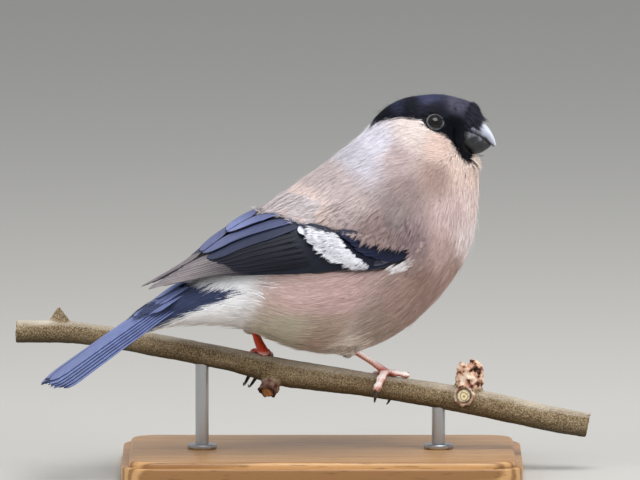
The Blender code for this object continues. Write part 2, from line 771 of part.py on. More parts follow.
def stand_base(finish):
    length, width, height = BASE_SIZE
    shape = bmesh.new()
    bmesh.ops.create_cube(shape, size=1.0)
    bmesh.ops.scale(shape, vec=(length * MM, width * MM, height * MM), verts=shape.verts)
    bmesh.ops.translate(shape, vec=(0, 0, height * MM / 2), verts=shape.verts)
    upright = [e for e in shape.edges if abs(e.verts[0].co.z - e.verts[1].co.z) > height * MM / 2]
    bmesh.ops.bevel(shape, geom=upright, offset=BASE_CORNER * MM, segments=5, affect="EDGES", profile=0.5)
    rim = [e for e in shape.edges if min(v.co.z for v in e.verts) > height * MM * 0.99]
    bmesh.ops.bevel(shape, geom=rim, offset=BASE_EDGE * MM, segments=2, affect="EDGES", profile=0.5)
    mesh = bpy.data.meshes.new("stand_base")
    shape.to_mesh(mesh)
    shape.free()
    made = bpy.data.objects.new("stand_base", mesh)
    bpy.context.scene.collection.objects.link(made)
    dress(made, finish)
    return made


def stand_rod(side, x, finish):
    """An upright rod whose top is hollowed to the round of the branch."""
    z, _, _ = branch_at(x)
    path = [Vector((x, 0, BASE_SIZE[2] + GAP)), Vector((x, 0, z))]
    made = tube("stand_rod_" + side, path, (ROD_RADIUS, ROD_RADIUS), 16, finish)
    boolean(made, [branch("cutter", GAP)], "DIFFERENCE")
    dress(made, finish)
    return made


def build():
    clear_scene()
    down_grey = material("buff plumage", (0.47, 0.35, 0.29), 0.9)
    cap_black = material("black cap", (0.01, 0.01, 0.014), 0.6)
    flight_blue = material("blue-black feathers", (0.02, 0.023, 0.05), 0.45)
    horn_grey = material("bill horn", (0.12, 0.12, 0.14), 0.35)
    eye_dark = material("eye", (0.01, 0.006, 0.004), 0.05)
    scaled_pink = material("leg skin", (0.52, 0.27, 0.23), 0.55)
    bark = material("bark", (0.33, 0.24, 0.13), 0.85)
    oak = material("stand wood", (0.25, 0.17, 0.1), 0.5)
    steel = material("stand steel", (0.55, 0.55, 0.56), 0.3, 1.0)

    sides = {"left": 1, "right": -1}
    torso = body_piece("torso", 0.0, TORSO_END, 20, down_grey)
    cutters = [wing_shell("cutter", side, GAP) for side in sides.values()]
    cutters += [thigh("cutter", side, GAP) for side in sides]
    boolean(torso, cutters, "DIFFERENCE")
    dress(torso, down_grey)
    body_piece("neck", TORSO_END, NECK_END, 5, down_grey, GAP)

    head = body_piece("head", NECK_END, len(BODY_STATIONS) - 1, 20, cap_black, GAP)
    boolean(head, [lid(side) for side in sides.values()], "UNION")
    sockets = [sphere("socket", eye_centre(side), EYE_BALL_RADIUS + GAP) for side in sides.values()]
    sockets.append(bill_half("cutter", UPPER_BILL, GAP))
    sockets.append(bill_half("cutter", LOWER_BILL, GAP))
    boolean(head, sockets, "DIFFERENCE")
    dress(head, cap_black)
    for name, side in sides.items():
        eye = sphere("eye_" + name, eye_centre(side), EYE_BALL_RADIUS)
        dress(eye, eye_dark)
    bill_upper(horn_grey)
    bill_half("bill_lower", LOWER_BILL, 0.0, horn_grey)

    for name, side in sides.items():
        wing("wing_" + name, side, flight_blue)
    tail(flight_blue)

    for name in sides:
        thigh("thigh_" + name, name, 0.0, down_grey)
        leg("leg_" + name, name, scaled_pink)
        foot("foot_" + name, name, scaled_pink)

    perch(bark)
    stand_base(oak)
    for side, x in ROD_PLACES.items():
        stand_rod(side, x, steel)


build()
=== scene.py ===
"""Female Eurasian bullfinch gripping a short length of branch, on a plain display stand.

Metres, +Z up, +X to the side the bill points to, +Y to the bird's far side, as in the frame.
Sizes named below are in millimetres unless a comment says otherwise.
"""

import math

import bmesh
import bpy
import numpy as np
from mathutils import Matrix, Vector
from mathutils.bvhtree import BVHTree
from mathutils.kdtree import KDTree


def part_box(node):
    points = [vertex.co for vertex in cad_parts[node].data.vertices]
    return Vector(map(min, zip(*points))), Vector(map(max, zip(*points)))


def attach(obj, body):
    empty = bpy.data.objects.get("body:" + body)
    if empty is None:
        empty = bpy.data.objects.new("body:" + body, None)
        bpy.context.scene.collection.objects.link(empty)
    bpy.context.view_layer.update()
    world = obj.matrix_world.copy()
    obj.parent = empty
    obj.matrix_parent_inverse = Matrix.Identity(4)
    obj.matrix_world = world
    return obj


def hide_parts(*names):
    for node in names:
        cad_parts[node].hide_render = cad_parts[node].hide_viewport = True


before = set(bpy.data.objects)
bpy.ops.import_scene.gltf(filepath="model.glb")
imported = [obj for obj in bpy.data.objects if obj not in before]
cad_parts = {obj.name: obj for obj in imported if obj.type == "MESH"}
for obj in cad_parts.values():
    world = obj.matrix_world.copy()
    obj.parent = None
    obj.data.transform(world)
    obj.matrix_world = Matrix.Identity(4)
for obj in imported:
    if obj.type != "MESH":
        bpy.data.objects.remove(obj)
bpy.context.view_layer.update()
MM = 0.001

# Stand base: a small block of oiled oak. Its corners are sawn round, its upper edge is cut
# with a moulding, and the top is sanded flat before the oil goes on.
BASE_SIZE = (120.0, 76.0, 6.0)
BASE_CORNER = 10.0
BASE_STEP = 4.2  # height of the lower, wider part of the moulding
BASE_LEDGE = 2.2
BASE_ROUNDING = (1.3, 0.6)  # of the upper edge and of the lower step's edge
OAK_LIGHT = "#B98F5E"
OAK_DARK = "#8A6239"
OAK_PORE = "#5A3D22"
OAK_GRAIN = 1.6  # mm between dark lines of the grain
OAK_PORE_WIDTH = 0.25


def linear(code):
    """An sRGB hex colour as linear red, green, blue and alpha."""
    values = [int(code[i : i + 2], 16) / 255 for i in (1, 3, 5)]
    made = [v / 12.92 if v <= 0.04045 else ((v + 0.055) / 1.055) ** 2.4 for v in values]
    return (*made, 1.0)


def set_inputs(node, inputs):
    """Sets values and links nodes: by the first output, or by the one named beside the node."""
    for name, value in inputs.items():
        if isinstance(value, bpy.types.Node):
            value = (value, 0)
        if isinstance(value, tuple) and isinstance(value[0], bpy.types.Node):
            node.id_data.links.new(value[0].outputs[value[1]], node.inputs[name])
        else:
            node.inputs[name].default_value = value


def noise_scale(size):
    """The scale at which a noise texture's grains are about this many millimetres wide."""
    return 0.5 / (size * MM)


def add_node(finish, kind, inputs, stops=(), **settings):
    """Adds one shader node with its settings, colour stops and links."""
    node = finish.node_tree.nodes.new("ShaderNode" + kind)
    for name, value in settings.items():
        setattr(node, name, value)
    for i, (place, colour) in enumerate(stops):
        ramp = node.color_ramp.elements
        stop = ramp[i] if i < len(ramp) else ramp.new(place)
        stop.position = place
        stop.color = linear(colour)
    set_inputs(node, inputs)
    return node


def new_finish(name, **inputs):
    """A material and its shader, with the plain values set on the shader's sockets."""
    finish = bpy.data.materials.new(name)
    finish.use_nodes = True
    shader = finish.node_tree.nodes["Principled BSDF"]
    set_inputs(shader, {key.replace("_", " "): value for key, value in inputs.items()})
    return finish, shader


def deselect():
    bpy.ops.object.select_all(action="DESELECT")


def take(piece):
    """Makes one object the only one selected, and the active one."""
    deselect()
    piece.select_set(True)
    bpy.context.view_layer.objects.active = piece


def select_edges(piece, wanted):
    """In edit mode, selects the edges whose two ends pass the test."""
    bpy.ops.mesh.select_mode(type="EDGE")
    bpy.ops.mesh.select_all(action="DESELECT")
    shape = bmesh.from_edit_mesh(piece.data)
    for edge in shape.edges:
        if wanted(edge.verts[0].co / MM, edge.verts[1].co / MM):
            edge.select = True
    bmesh.update_edit_mesh(piece.data)


def apply_modifier(piece, kind, **settings):
    take(piece)
    change = piece.modifiers.new("shape", kind)
    for name, value in settings.items():
        setattr(change, name, value)
    bpy.ops.object.modifier_apply(modifier=change.name)


def settle(piece, name, finish):
    """Puts a finished piece's place in its mesh, names it and gives it its material."""
    take(piece)
    bpy.ops.object.transform_apply(location=True, rotation=True, scale=True)
    piece.name = name
    piece.data.name = name
    piece.data.materials.clear()
    piece.data.materials.append(finish)
    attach(piece, "root")


deselect()
bpy.ops.mesh.primitive_cube_add(size=1.0, location=(0, 0, BASE_STEP / 2 * MM))
base = bpy.context.object
base.scale = (BASE_SIZE[0] * MM, BASE_SIZE[1] * MM, BASE_STEP * MM)
bpy.ops.object.transform_apply(location=True, rotation=True, scale=True)
bpy.ops.object.mode_set(mode="EDIT")
select_edges(base, lambda a, b: abs(a.z - b.z) > BASE_STEP / 2)
bpy.ops.mesh.bevel(offset=BASE_CORNER * MM, segments=14, affect="EDGES")
bpy.ops.mesh.select_mode(type="FACE")
bpy.ops.mesh.select_all(action="DESELECT")
base_shape = bmesh.from_edit_mesh(base.data)
for face in base_shape.faces:
    face.select = face.normal.z > 0.9
bmesh.update_edit_mesh(base.data)
bpy.ops.mesh.inset(thickness=BASE_LEDGE * MM)
bpy.ops.mesh.extrude_region_move(
    TRANSFORM_OT_translate={"value": (0, 0, (BASE_SIZE[2] - BASE_STEP) * MM)}
)
select_edges(base, lambda a, b: min(a.z, b.z) > BASE_SIZE[2] - 0.01)
bpy.ops.mesh.bevel(offset=BASE_ROUNDING[0] * MM, segments=6, affect="EDGES")


def inside_rim(point):
    """How far a point lies inside the base's outline, in millimetres."""
    x = abs(point.x) - (BASE_SIZE[0] / 2 - BASE_CORNER)
    y = abs(point.y) - (BASE_SIZE[1] / 2 - BASE_CORNER)
    return BASE_CORNER - math.hypot(max(x, 0), max(y, 0)) - min(max(x, y), 0)


select_edges(base, lambda a, b: abs(a.z + b.z - 2 * BASE_STEP) < 0.01 and inside_rim(a) < 0.1)
bpy.ops.mesh.bevel(offset=BASE_ROUNDING[1] * MM, segments=4, affect="EDGES")
bpy.ops.object.mode_set(mode="OBJECT")
bpy.ops.object.shade_smooth_by_angle(angle=math.radians(35))

# Oiled oak, sanded: the oil leaves it satin, the grain runs lengthwise and the open pores
# show as short dark dashes. Real pores are 0.2 mm wide and are drawn slightly wider.
oiled_oak, oak_shader = new_finish("oiled oak", Roughness=0.42, Coat_Weight=0.15, Coat_Roughness=0.3)
oak_place = add_node(oiled_oak, "TexCoord", {})
oak_long = add_node(
    oiled_oak, "Mapping", {"Vector": (oak_place, "Object"), "Scale": (0.12, 1.0, 1.0)}
)
oak_rings = add_node(
    oiled_oak,
    "TexWave",
    {
        "Vector": oak_long,
        "Scale": noise_scale(OAK_GRAIN) / math.tau * 2,
        "Distortion": 5.0,
        "Detail": 3.0,
        "Detail Scale": 1.2,
    },
    bands_direction="Y",
)
oak_tone = add_node(
    oiled_oak, "ValToRGB", {"Fac": (oak_rings, "Fac")}, stops=((0.1, OAK_DARK), (0.75, OAK_LIGHT))
)
oak_fine = add_node(
    oiled_oak, "Mapping", {"Vector": (oak_place, "Object"), "Scale": (0.06, 1.0, 1.0)}
)
oak_pores = add_node(
    oiled_oak, "TexNoise", {"Vector": oak_fine, "Scale": noise_scale(OAK_PORE_WIDTH), "Detail": 2.0}
)
oak_dashes = add_node(
    oiled_oak, "MapRange", {"Value": oak_pores, "From Min": 0.6, "From Max": 0.72, "To Max": 0.75}
)
oak_colour = add_node(
    oiled_oak, "MixRGB", {"Fac": oak_dashes, "Color1": oak_tone, "Color2": linear(OAK_PORE)}
)
oak_relief = add_node(
    oiled_oak, "Bump", {"Height": oak_dashes, "Strength": 0.4, "Distance": 0.05 * MM}, invert=True
)
set_inputs(oak_shader, {"Base Color": oak_colour, "Normal": oak_relief})
settle(base, "oak_base", oiled_oak)
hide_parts("stand_base")

# Rods: two turned steel pins with a small flange. Each is pressed into the base, and its
# upper end is hollowed so that the branch rests in it.
ROD_RADIUS = 2.0
FLANGE_RADIUS = 4.4
FLANGE_HEIGHT = 1.5
FLANGE_ROUNDING = 0.5
ROD_BITE = 0.25  # how far a rod reaches into the bark
ROD_PLACES = {"left": -36.0, "right": 35.0}
STEEL = "#B9BABC"

# Stainless steel, turned and then brushed: soft highlights, broken by fine rings round it.
brushed_steel, steel_shader = new_finish(
    "brushed stainless steel", Base_Color=linear(STEEL), Metallic=1.0, Roughness=0.32
)
steel_place = add_node(brushed_steel, "TexCoord", {})
steel_stretch = add_node(
    brushed_steel, "Mapping", {"Vector": (steel_place, "Object"), "Scale": (0.05, 0.05, 1.0)}
)
steel_lines = add_node(
    brushed_steel, "TexNoise", {"Vector": steel_stretch, "Scale": noise_scale(0.2), "Detail": 3.0}
)
steel_rough = add_node(
    brushed_steel, "MapRange", {"Value": steel_lines, "To Min": 0.24, "To Max": 0.42}
)
steel_relief = add_node(
    brushed_steel, "Bump", {"Height": steel_lines, "Strength": 0.25, "Distance": 0.02 * MM}
)
set_inputs(steel_shader, {"Roughness": steel_rough, "Normal": steel_relief})
for rod_side, rod_x in ROD_PLACES.items():
    rod_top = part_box("stand_rod_" + rod_side)[1].z / MM + ROD_BITE
    deselect()
    bpy.ops.mesh.primitive_cylinder_add(
        vertices=48,
        radius=ROD_RADIUS * MM,
        depth=(rod_top - BASE_SIZE[2]) * MM,
        location=(rod_x * MM, 0, (rod_top + BASE_SIZE[2]) / 2 * MM),
    )
    rod = bpy.context.object
    bpy.ops.mesh.primitive_cylinder_add(
        vertices=48,
        radius=FLANGE_RADIUS * MM,
        depth=FLANGE_HEIGHT * MM,
        location=(rod_x * MM, 0, (BASE_SIZE[2] + FLANGE_HEIGHT / 2) * MM),
    )
    flange = bpy.context.object
    apply_modifier(flange, "BEVEL", width=FLANGE_ROUNDING * MM, segments=4, angle_limit=math.radians(40))
    rod.select_set(True)
    bpy.context.view_layer.objects.active = rod
    bpy.ops.object.join()
    bpy.ops.object.shade_smooth_by_angle(angle=math.radians(35))
    settle(rod, "steel_rod_" + rod_side, brushed_steel)
    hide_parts("stand_rod_" + rod_side)

# Branch: a length of hawthorn-like wood with its bark on, sawn off at both ends, with a
# thorn, a broken stub below and a two-lobed bud scar above the cut stump of a twig.
BARK_VOXEL = 0.42
BARK_CUTS = (
    ((-92.0, 0, 41.4), (-91.0, 0, 41.4), 3.0, 0.0, 0),
    ((80.0, 0, 13.1), (79.0, 0, 13.3), 3.3, 0.0, 0),
    ((-16.5, -4.2, 23.0), (-12.8, 1.0, 26.4), 2.5, 0.6, 1),
    ((42.5, -5.4, 22.6), (43.3, 1.0, 21.2), 2.3, 0.5, 0),
)  # middle of a cut, a point behind it, radius, width of the dark bark, 1 for the stub
SWELLS = ((7.0, 0.35), (1.4, 0.12))  # size and height of the bark's swells and wrinkles
KNOB_LUMPS = ((2.2, 1.7), (0.9, 0.9))  # the same of the knob's lumps and cracks
BRANCH_STATIONS = (
    (-92.0, 41.4, 3.5),
    (-72.0, 40.8, 3.3),
    (-47.0, 36.8, 3.45),
    (-24.0, 32.3, 3.6),
    (-12.0, 28.9, 4.25),
    (16.0, 25.0, 3.65),
    (46.0, 20.0, 4.0),
    (80.0, 13.1, 3.8),
)  # x and z of the branch's middle and its radius
BARK_BUFF = "#74624A"
BARK_BROWN = "#58452F"
BARK_GREY = "#8A7A62"
BARK_SPECK = "#2C2317"
BARK_FLECK = "#C4B58E"
# painted highlight on the branch's upper faces and painted shade on its lower ones
BARK_HIGHLIGHT_PAINTED = "#E6DFD2"
BARK_SHADE_PAINTED = "#2B2613"
OLD_CRACK = "#20130D"
OLD_BARK = "#6B4433"
OLD_BUFF = "#B98F77"
OLD_WOOD = "#DECBB6"
OLD_RED = "#4A2620"
OLD_RIM = "#1C120F"
WOOD_STUB = "#A06A40"
WOOD_CUT = "#D2C49C"
WOOD_RING = "#6A5230"
BARK_SPECK_SIZE = 0.2


def new_piece(name, mesh):
    piece = bpy.data.objects.new(name, mesh)
    bpy.context.scene.collection.objects.link(piece)
    return piece


def frame_copy(name, *nodes):
    """A copy of CAD nodes joined in one mesh, with the loose triangles merged."""
    copies = [new_piece(name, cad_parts[node].data.copy()) for node in nodes]
    take(copies[0])
    for copy in copies:
        copy.select_set(True)
    if len(copies) > 1:
        bpy.ops.object.join()
    bpy.ops.object.mode_set(mode="EDIT")
    bpy.ops.mesh.select_all(action="SELECT")
    bpy.ops.mesh.remove_doubles(threshold=0.002 * MM)
    bpy.ops.mesh.customdata_custom_splitnormals_clear()
    bpy.ops.object.mode_set(mode="OBJECT")
    return copies[0]


def vertex_rows(piece, key):
    values = np.empty(len(piece.data.vertices) * 3)
    piece.data.vertices.foreach_get(key, values)
    return values.reshape(-1, 3)


def mesh_points(piece):
    return vertex_rows(piece, "co") / MM


def mesh_normals(piece):
    return vertex_rows(piece, "normal")


def move_points(piece, points):
    piece.data.vertices.foreach_set("co", (points * MM).ravel())
    piece.data.update()


def give_attribute(piece, name, values):
    made = piece.data.attributes.new(name, "FLOAT", "POINT")
    made.data.foreach_set("value", np.asarray(values, dtype=np.float32))


def roughen(piece, size, strength, name, **settings):
    """Raises and sinks a surface with cloud noise of one size, in millimetres."""
    clouds = bpy.data.textures.new(name, "CLOUDS")
    clouds.noise_scale = size * MM
    clouds.noise_depth = 2
    settings.update(texture=clouds, strength=strength * MM, mid_level=0.5, texture_coords="LOCAL")
    apply_modifier(piece, "DISPLACE", **settings)


def even_out(piece, voxel, rounds):
    """Remakes a mesh in even steps of one size and smooths it."""
    apply_modifier(piece, "REMESH", mode="VOXEL", voxel_size=voxel * MM)
    apply_modifier(piece, "SMOOTH", factor=0.5, iterations=rounds)


branch = frame_copy("branch", "perch")
even_out(branch, BARK_VOXEL, 6)
roughen(branch, *SWELLS[0], "bark swells")
roughen(branch, *SWELLS[1], "bark wrinkles")
bark_points = mesh_points(branch)
stations = np.array(BRANCH_STATIONS)
axis_height = np.interp(bark_points[:, 0], stations[:, 0], stations[:, 1])
axis_radius = np.interp(bark_points[:, 0], stations[:, 0], stations[:, 2])
stands_out = np.hypot(bark_points[:, 1], bark_points[:, 2] - axis_height) - axis_radius
old_bark = np.clip((stands_out - 0.5) / 0.8, 0, 1) * (bark_points[:, 0] > -70)
old_group = branch.vertex_groups.new(name="old bark")
for i in np.flatnonzero(old_bark > 0.02):
    old_group.add([int(i)], float(old_bark[i]), "REPLACE")
roughen(branch, *KNOB_LUMPS[0], "knob lumps", vertex_group="old bark")
roughen(branch, *KNOB_LUMPS[1], "knob cracks", vertex_group="old bark")
bpy.ops.object.shade_smooth()
bark_points = mesh_points(branch)
wood_cut = np.zeros(len(bark_points))
stub_cut = np.zeros(len(bark_points))
pith_reach = np.full(len(bark_points), 50.0)
dark_rim = np.zeros(len(bark_points))
for end, root, radius, bark_width, is_stub in BARK_CUTS:
    axis = np.array(end) - np.array(root)
    axis = axis / np.linalg.norm(axis)
    from_end = bark_points - np.array(end)
    depth = from_end @ axis
    reach = np.linalg.norm(from_end - depth[:, None] * axis, axis=1)
    on_cut = (depth > -0.7) & (reach < radius)
    ring = (depth > -1.5) & (reach < radius + 0.4)
    old_bark[ring] = np.maximum(old_bark[ring], 0.9 if bark_width else 0.0)
    rim = np.exp(-(((reach - radius + bark_width * 0.4) / 0.55) ** 2)) * (depth > -1.3)
    dark_rim = np.maximum(dark_rim, rim * (0.9 if bark_width else 0.0))
    wood_cut[on_cut] = np.clip((radius - bark_width - reach[on_cut]) / 0.15, 0, 1)
    stub_cut[on_cut] = is_stub
    pith_reach[on_cut] = reach[on_cut]
    bark_points[on_cut] -= np.outer(depth[on_cut] + 0.35, axis)
move_points(branch, bark_points)
faces_up = mesh_normals(branch)[:, 2]
for name, values in {
    "cut": wood_cut,
    "stub": stub_cut,
    "pith": pith_reach,
    "old": old_bark,
    "rim": dark_rim,
    "red": old_bark * (np.abs(bark_points[:, 0] + 15.0) < 8.0) * 0.75,
    # painted light and shade: how far each place faces up or down
    "painted_light_on_top": np.clip(faces_up, 0, 1),
    "damp": np.clip(-faces_up - 0.1, 0, 1),
}.items():
    give_attribute(branch, name, values)

# Thin dry bark over pale wood: matt, buff with greyer and browner patches, with a painted highlight on
# its upper faces and painted shade on its lower ones. Its dark specks and pale flecks are about 0.1 mm
# wide on the real twig and are drawn 0.2 mm so that they show.
dry_bark, bark_shader = new_finish("dry bark", Roughness=0.85, Specular_IOR_Level=0.3)
bark_place = add_node(dry_bark, "TexCoord", {})
bark_long = add_node(
    dry_bark, "Mapping", {"Vector": (bark_place, "Object"), "Scale": (0.35, 1.0, 1.0)}
)
bark_patches = add_node(
    dry_bark,
    "TexNoise",
    {"Vector": bark_long, "Scale": noise_scale(3.0), "Detail": 5.0, "Roughness": 0.6},
)
bark_tone = add_node(
    dry_bark,
    "ValToRGB",
    {"Fac": bark_patches},
    stops=((0.25, BARK_BROWN), (0.5, BARK_BUFF), (0.78, BARK_GREY)),
)
bark_grains = add_node(
    dry_bark,
    "TexNoise",
    {
        "Vector": (bark_place, "Object"),
        "Scale": noise_scale(BARK_SPECK_SIZE),
        "Detail": 3.0,
        "Roughness": 0.7,
    },
)
bark_specks = add_node(
    dry_bark, "MapRange", {"Value": bark_grains, "From Min": 0.48, "From Max": 0.36, "To Max": 0.85}
)
bark_flecks = add_node(
    dry_bark, "MapRange", {"Value": bark_grains, "From Min": 0.52, "From Max": 0.64, "To Max": 0.5}
)
bark_light_on_top, bark_shade_below, old_mask, old_red, old_rim, cut_pith, cut_stub, cut_mask = (
    add_node(dry_bark, "Attribute", {}, attribute_name=name)
    for name in ("painted_light_on_top", "damp", "old", "red", "rim", "pith", "stub", "cut")
)
# painted highlight on the upward faces, broken up by the patches
bark_light_level = add_node(
    dry_bark, "Math", {0: (bark_light_on_top, "Fac"), 1: 1.25, 2: bark_patches}, operation="MULTIPLY_ADD"
)
bark_painted_highlight = add_node(
    dry_bark, "MapRange", {"Value": bark_light_level, "From Min": 1.1, "From Max": 2.2, "To Max": 0.6}
)
old_cloud = add_node(
    dry_bark,
    "TexNoise",
    {"Vector": (bark_place, "Object"), "Scale": noise_scale(1.1), "Detail": 4.0},
)
old_colour = add_node(
    dry_bark,
    "ValToRGB",
    {"Fac": old_cloud},
    stops=((0.34, OLD_CRACK), (0.41, OLD_BARK), (0.47, OLD_BUFF), (0.6, OLD_WOOD)),
)
for share, over in (((old_red, "Fac"), OLD_RED), ((old_rim, "Fac"), OLD_RIM)):
    old_colour = add_node(
        dry_bark, "MixRGB", {"Fac": share, "Color1": old_colour, "Color2": linear(over)}
    )
bark_colour = bark_tone
for share, over in (
    (bark_specks, linear(BARK_SPECK)),
    (bark_flecks, linear(BARK_FLECK)),
    # painted highlight on top and painted shade below
    (bark_painted_highlight, linear(BARK_HIGHLIGHT_PAINTED)),
    ((bark_shade_below, "Fac"), linear(BARK_SHADE_PAINTED)),
    ((old_mask, "Fac"), old_colour),
):
    bark_colour = add_node(
        dry_bark, "MixRGB", {"Fac": share, "Color1": bark_colour, "Color2": over}
    )
cut_turns = add_node(
    dry_bark, "Math", {0: (cut_pith, "Fac"), 1: math.tau / 1.1}, operation="MULTIPLY"
)
cut_wave = add_node(
    dry_bark, "Math", {0: old_cloud, 1: 14.0, 2: cut_turns}, operation="MULTIPLY_ADD"
)
cut_sine = add_node(dry_bark, "Math", {0: cut_wave}, operation="SINE")
cut_rings = add_node(dry_bark, "MapRange", {"Value": cut_sine, "From Min": 0.1, "To Max": 0.8})
cut_wood = add_node(
    dry_bark,
    "MixRGB",
    {"Fac": (cut_stub, "Fac"), "Color1": linear(WOOD_CUT), "Color2": linear(WOOD_STUB)},
)
cut_colour = add_node(
    dry_bark, "MixRGB", {"Fac": cut_rings, "Color1": cut_wood, "Color2": linear(WOOD_RING)}
)
branch_colour = add_node(
    dry_bark, "MixRGB", {"Fac": (cut_mask, "Fac"), "Color1": bark_colour, "Color2": cut_colour}
)
bark_relief = add_node(
    dry_bark, "Bump", {"Height": bark_grains, "Strength": 0.6, "Distance": 0.18 * MM}
)
set_inputs(bark_shader, {"Base Color": branch_colour, "Normal": bark_relief})
settle(branch, "barked_branch", dry_bark)
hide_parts("perch")

# Skin: the body under the feathers, from the rump to the face, in one piece with the upper
# legs. It lies inside the solids by the depth of the coat and has the coat's own markings,
# so that nothing else shows between the feathers.
SKIN_NODES = ("torso", "neck", "head", "thigh_left", "thigh_right")
SKIN_VOXEL = 0.7
SKIN_DEPTH = 0.9
SKIN_TONE = 0.6  # its brightness as a share of the coat's
FACE_DEPTH = 0.5
FACE_SLIM = 3.6
BODY_YAW = math.radians(20.0)  # the bird stands at this angle to the branch
HEAD_TURN = math.radians(-20.0)  # and turns its head back by as much
NECK_PIVOT = 28.1
NECK_LOW = (16.1, 68.4)  # x and z where the neck starts to turn
NECK_HIGH = (39.5, 101.5)  # and where the head has turned fully

# The plumage's colours by region, with the region's middle in the side view, x and z. A few are darkened by
# painted shade, as marked below.
PLUMAGE_PLACES = (
    (16.0, 99.5, "#DEDBE6"),  # nape
    (10.0, 95.0, "#C6C2CC"),  # mantle
    (28.0, 101.5, "#E8D9D4"),  # behind the eye
    (36.0, 97.5, "#EACFC4"),  # cheek
    (22.0, 93.5, "#BFACAB"),  # side of the neck
    (44.0, 89.5, "#F0D6CA"),  # throat
    (33.0, 88.0, "#B29A91"),  # lower cheek
    (22.0, 85.0, "#9A8886"),  # lower neck
    (46.0, 80.0, "#F3DCD6"),  # upper breast
    (38.0, 77.0, "#D8C0BE"),  # side of the breast
    (43.0, 69.0, "#F9E6E5"),  # lower breast
    (33.0, 66.0, "#C2A6A0"),  # breast over the wing's bend
    (37.0, 59.0, "#B4988F"),  # front of the belly
    # own buff, darkened by painted shade: the front of the flank, the lower flank and the thigh below
    (25.0, 56.0, "#A0857B"),  # front of the flank
    (17.0, 50.0, "#AC9289"),  # lower flank
    (10.0, 44.0, "#A8958B"),  # thigh
    (-3.0, 55.0, "#D0B0AD"),  # flank
    (-14.0, 56.0, "#D6B8B3"),  # rear flank
    (-5.0, 43.0, "#B7A194"),  # belly
    (5.0, 37.0, "#F2E8DF"),  # lowest belly
    (-16.0, 42.0, "#C4BEA9"),  # belly in front of the vent
    (0.0, 89.0, "#BDAFAE"),  # upper back
    (-12.0, 81.0, "#E0CAC3"),  # back
    (2.0, 80.0, "#BFB0AE"),  # upper scapulars
    # own grey-brown, darkened by painted shade near the wing's bend
    (17.0, 78.0, "#938684"),  # shoulder
    (7.0, 74.0, "#A28D8A"),  # lower scapulars
    # own colour, darkened by painted shade over the wing's bend
    (21.0, 71.0, "#9C8789"),  # over the wing's bend
)
# The black cap's colours by region; its lighter blue-greys are painted sheen from light above.
CAP_COLOURS_AND_PAINTED_SHEEN = (
    # crown, back of the crown and forehead: their blue-grey is painted sheen from light above
    (34.1, 112.0, "#3D3F5A"),  # crown
    (24.0, 109.8, "#282A3C"),  # back of the crown
    (43.5, 110.0, "#525262"),  # forehead
    (47.5, 106.8, "#2E2E38"),  # bristles over the bill
    (28.1, 108.0, "#0B0B10"),  # side of the crown
    (20.6, 105.2, "#0C0C12"),  # nape's edge
    (35.0, 108.0, "#09090D"),  # over the eye
    (40.7, 103.5, "#060608"),  # in front of the eye
    (46.0, 93.6, "#060507"),  # bib
)
RUMP_WHITE = "#FAFBFF"
COVERT_BLUE = "#38415F"
# Outlines of the markings in the same side view.
CAP_OUTLINE = (
    (8.0, 106.0), (16.1, 102.4), (18.0, 103.8), (21.1, 105.0), (24.9, 105.6), (29.3, 105.4),
    (31.5, 104.8), (32.7, 103.6), (34.2, 102.4), (37.0, 101.2), (38.3, 100.3), (40.4, 97.8),
    (41.8, 95.6), (43.2, 93.1), (45.2, 91.6), (46.8, 92.0), (48.2, 93.8), (60.0, 95.2),
    (60.0, 125.0), (8.0, 125.0),
)
WHITE_OUTLINE = (
    (-23.0, 75.0), (-24.5, 62.0), (-26.0, 55.0), (-27.0, 48.0), (-24.0, 40.0), (-60.0, 35.0),
    (-60.0, 75.0),
)
BLUE_OUTLINE = (
    (-31.5, 56.4), (-35.0, 53.4), (-40.5, 51.3), (-48.0, 47.8), (-62.0, 41.0), (-62.0, 75.0),
    (-46.0, 66.0), (-43.5, 58.6), (-40.0, 56.6), (-36.0, 56.6),
)


def own_frame(points):
    """World points as x, side and z of the bird's own frame, and how far each is turned."""
    cos, sin = math.cos(BODY_YAW), math.sin(BODY_YAW)
    along = points[:, 0] * cos + points[:, 1] * sin
    across = points[:, 1] * cos - points[:, 0] * sin
    z = points[:, 2]
    x = along
    run = (NECK_HIGH[0] - NECK_LOW[0], NECK_HIGH[1] - NECK_LOW[1])
    for _ in range(8):
        share = (x - NECK_LOW[0]) * run[0] + (z - NECK_LOW[1]) * run[1]
        turn = HEAD_TURN * np.clip(share / (run[0] ** 2 + run[1] ** 2), 0, 1)
        x = NECK_PIVOT + (along - NECK_PIVOT) * np.cos(turn) + across * np.sin(turn)
    side = across * np.cos(turn) - (along - NECK_PIVOT) * np.sin(turn)
    return x, side, z, turn


def head_point(x, side, z):
    """Points of the turned head's frame in the world's."""
    cos, sin = math.cos(HEAD_TURN), math.sin(HEAD_TURN)
    along = NECK_PIVOT + (x - NECK_PIVOT) * cos - side * sin
    return body_to_world(along, (x - NECK_PIVOT) * sin + side * cos, z)


def slimmed(points):
    """Narrows the face beside the lower bill, where the feathers lie closest."""
    x, side, z, _ = own_frame(points)
    share = np.exp(-(((x - 45.2) / 3.2) ** 2) - ((z - 97.5) / 4.2) ** 2)
    inner = side - np.sign(side) * np.minimum(FACE_SLIM * share, np.abs(side) * 0.7)
    return points + head_point(x, inner, z) - head_point(x, side, z)


def place_weights(x, z, places, power):
    """How much each named place counts at each point, by its distance in the side view."""
    table = np.array([place[:2] for place in places])
    apart = (x[:, None] - table[:, 0]) ** 2 + (z[:, None] - table[:, 1]) ** 2 + 1.0
    weights = apart ** (-power / 2)
    return weights / weights.sum(axis=1, keepdims=True)


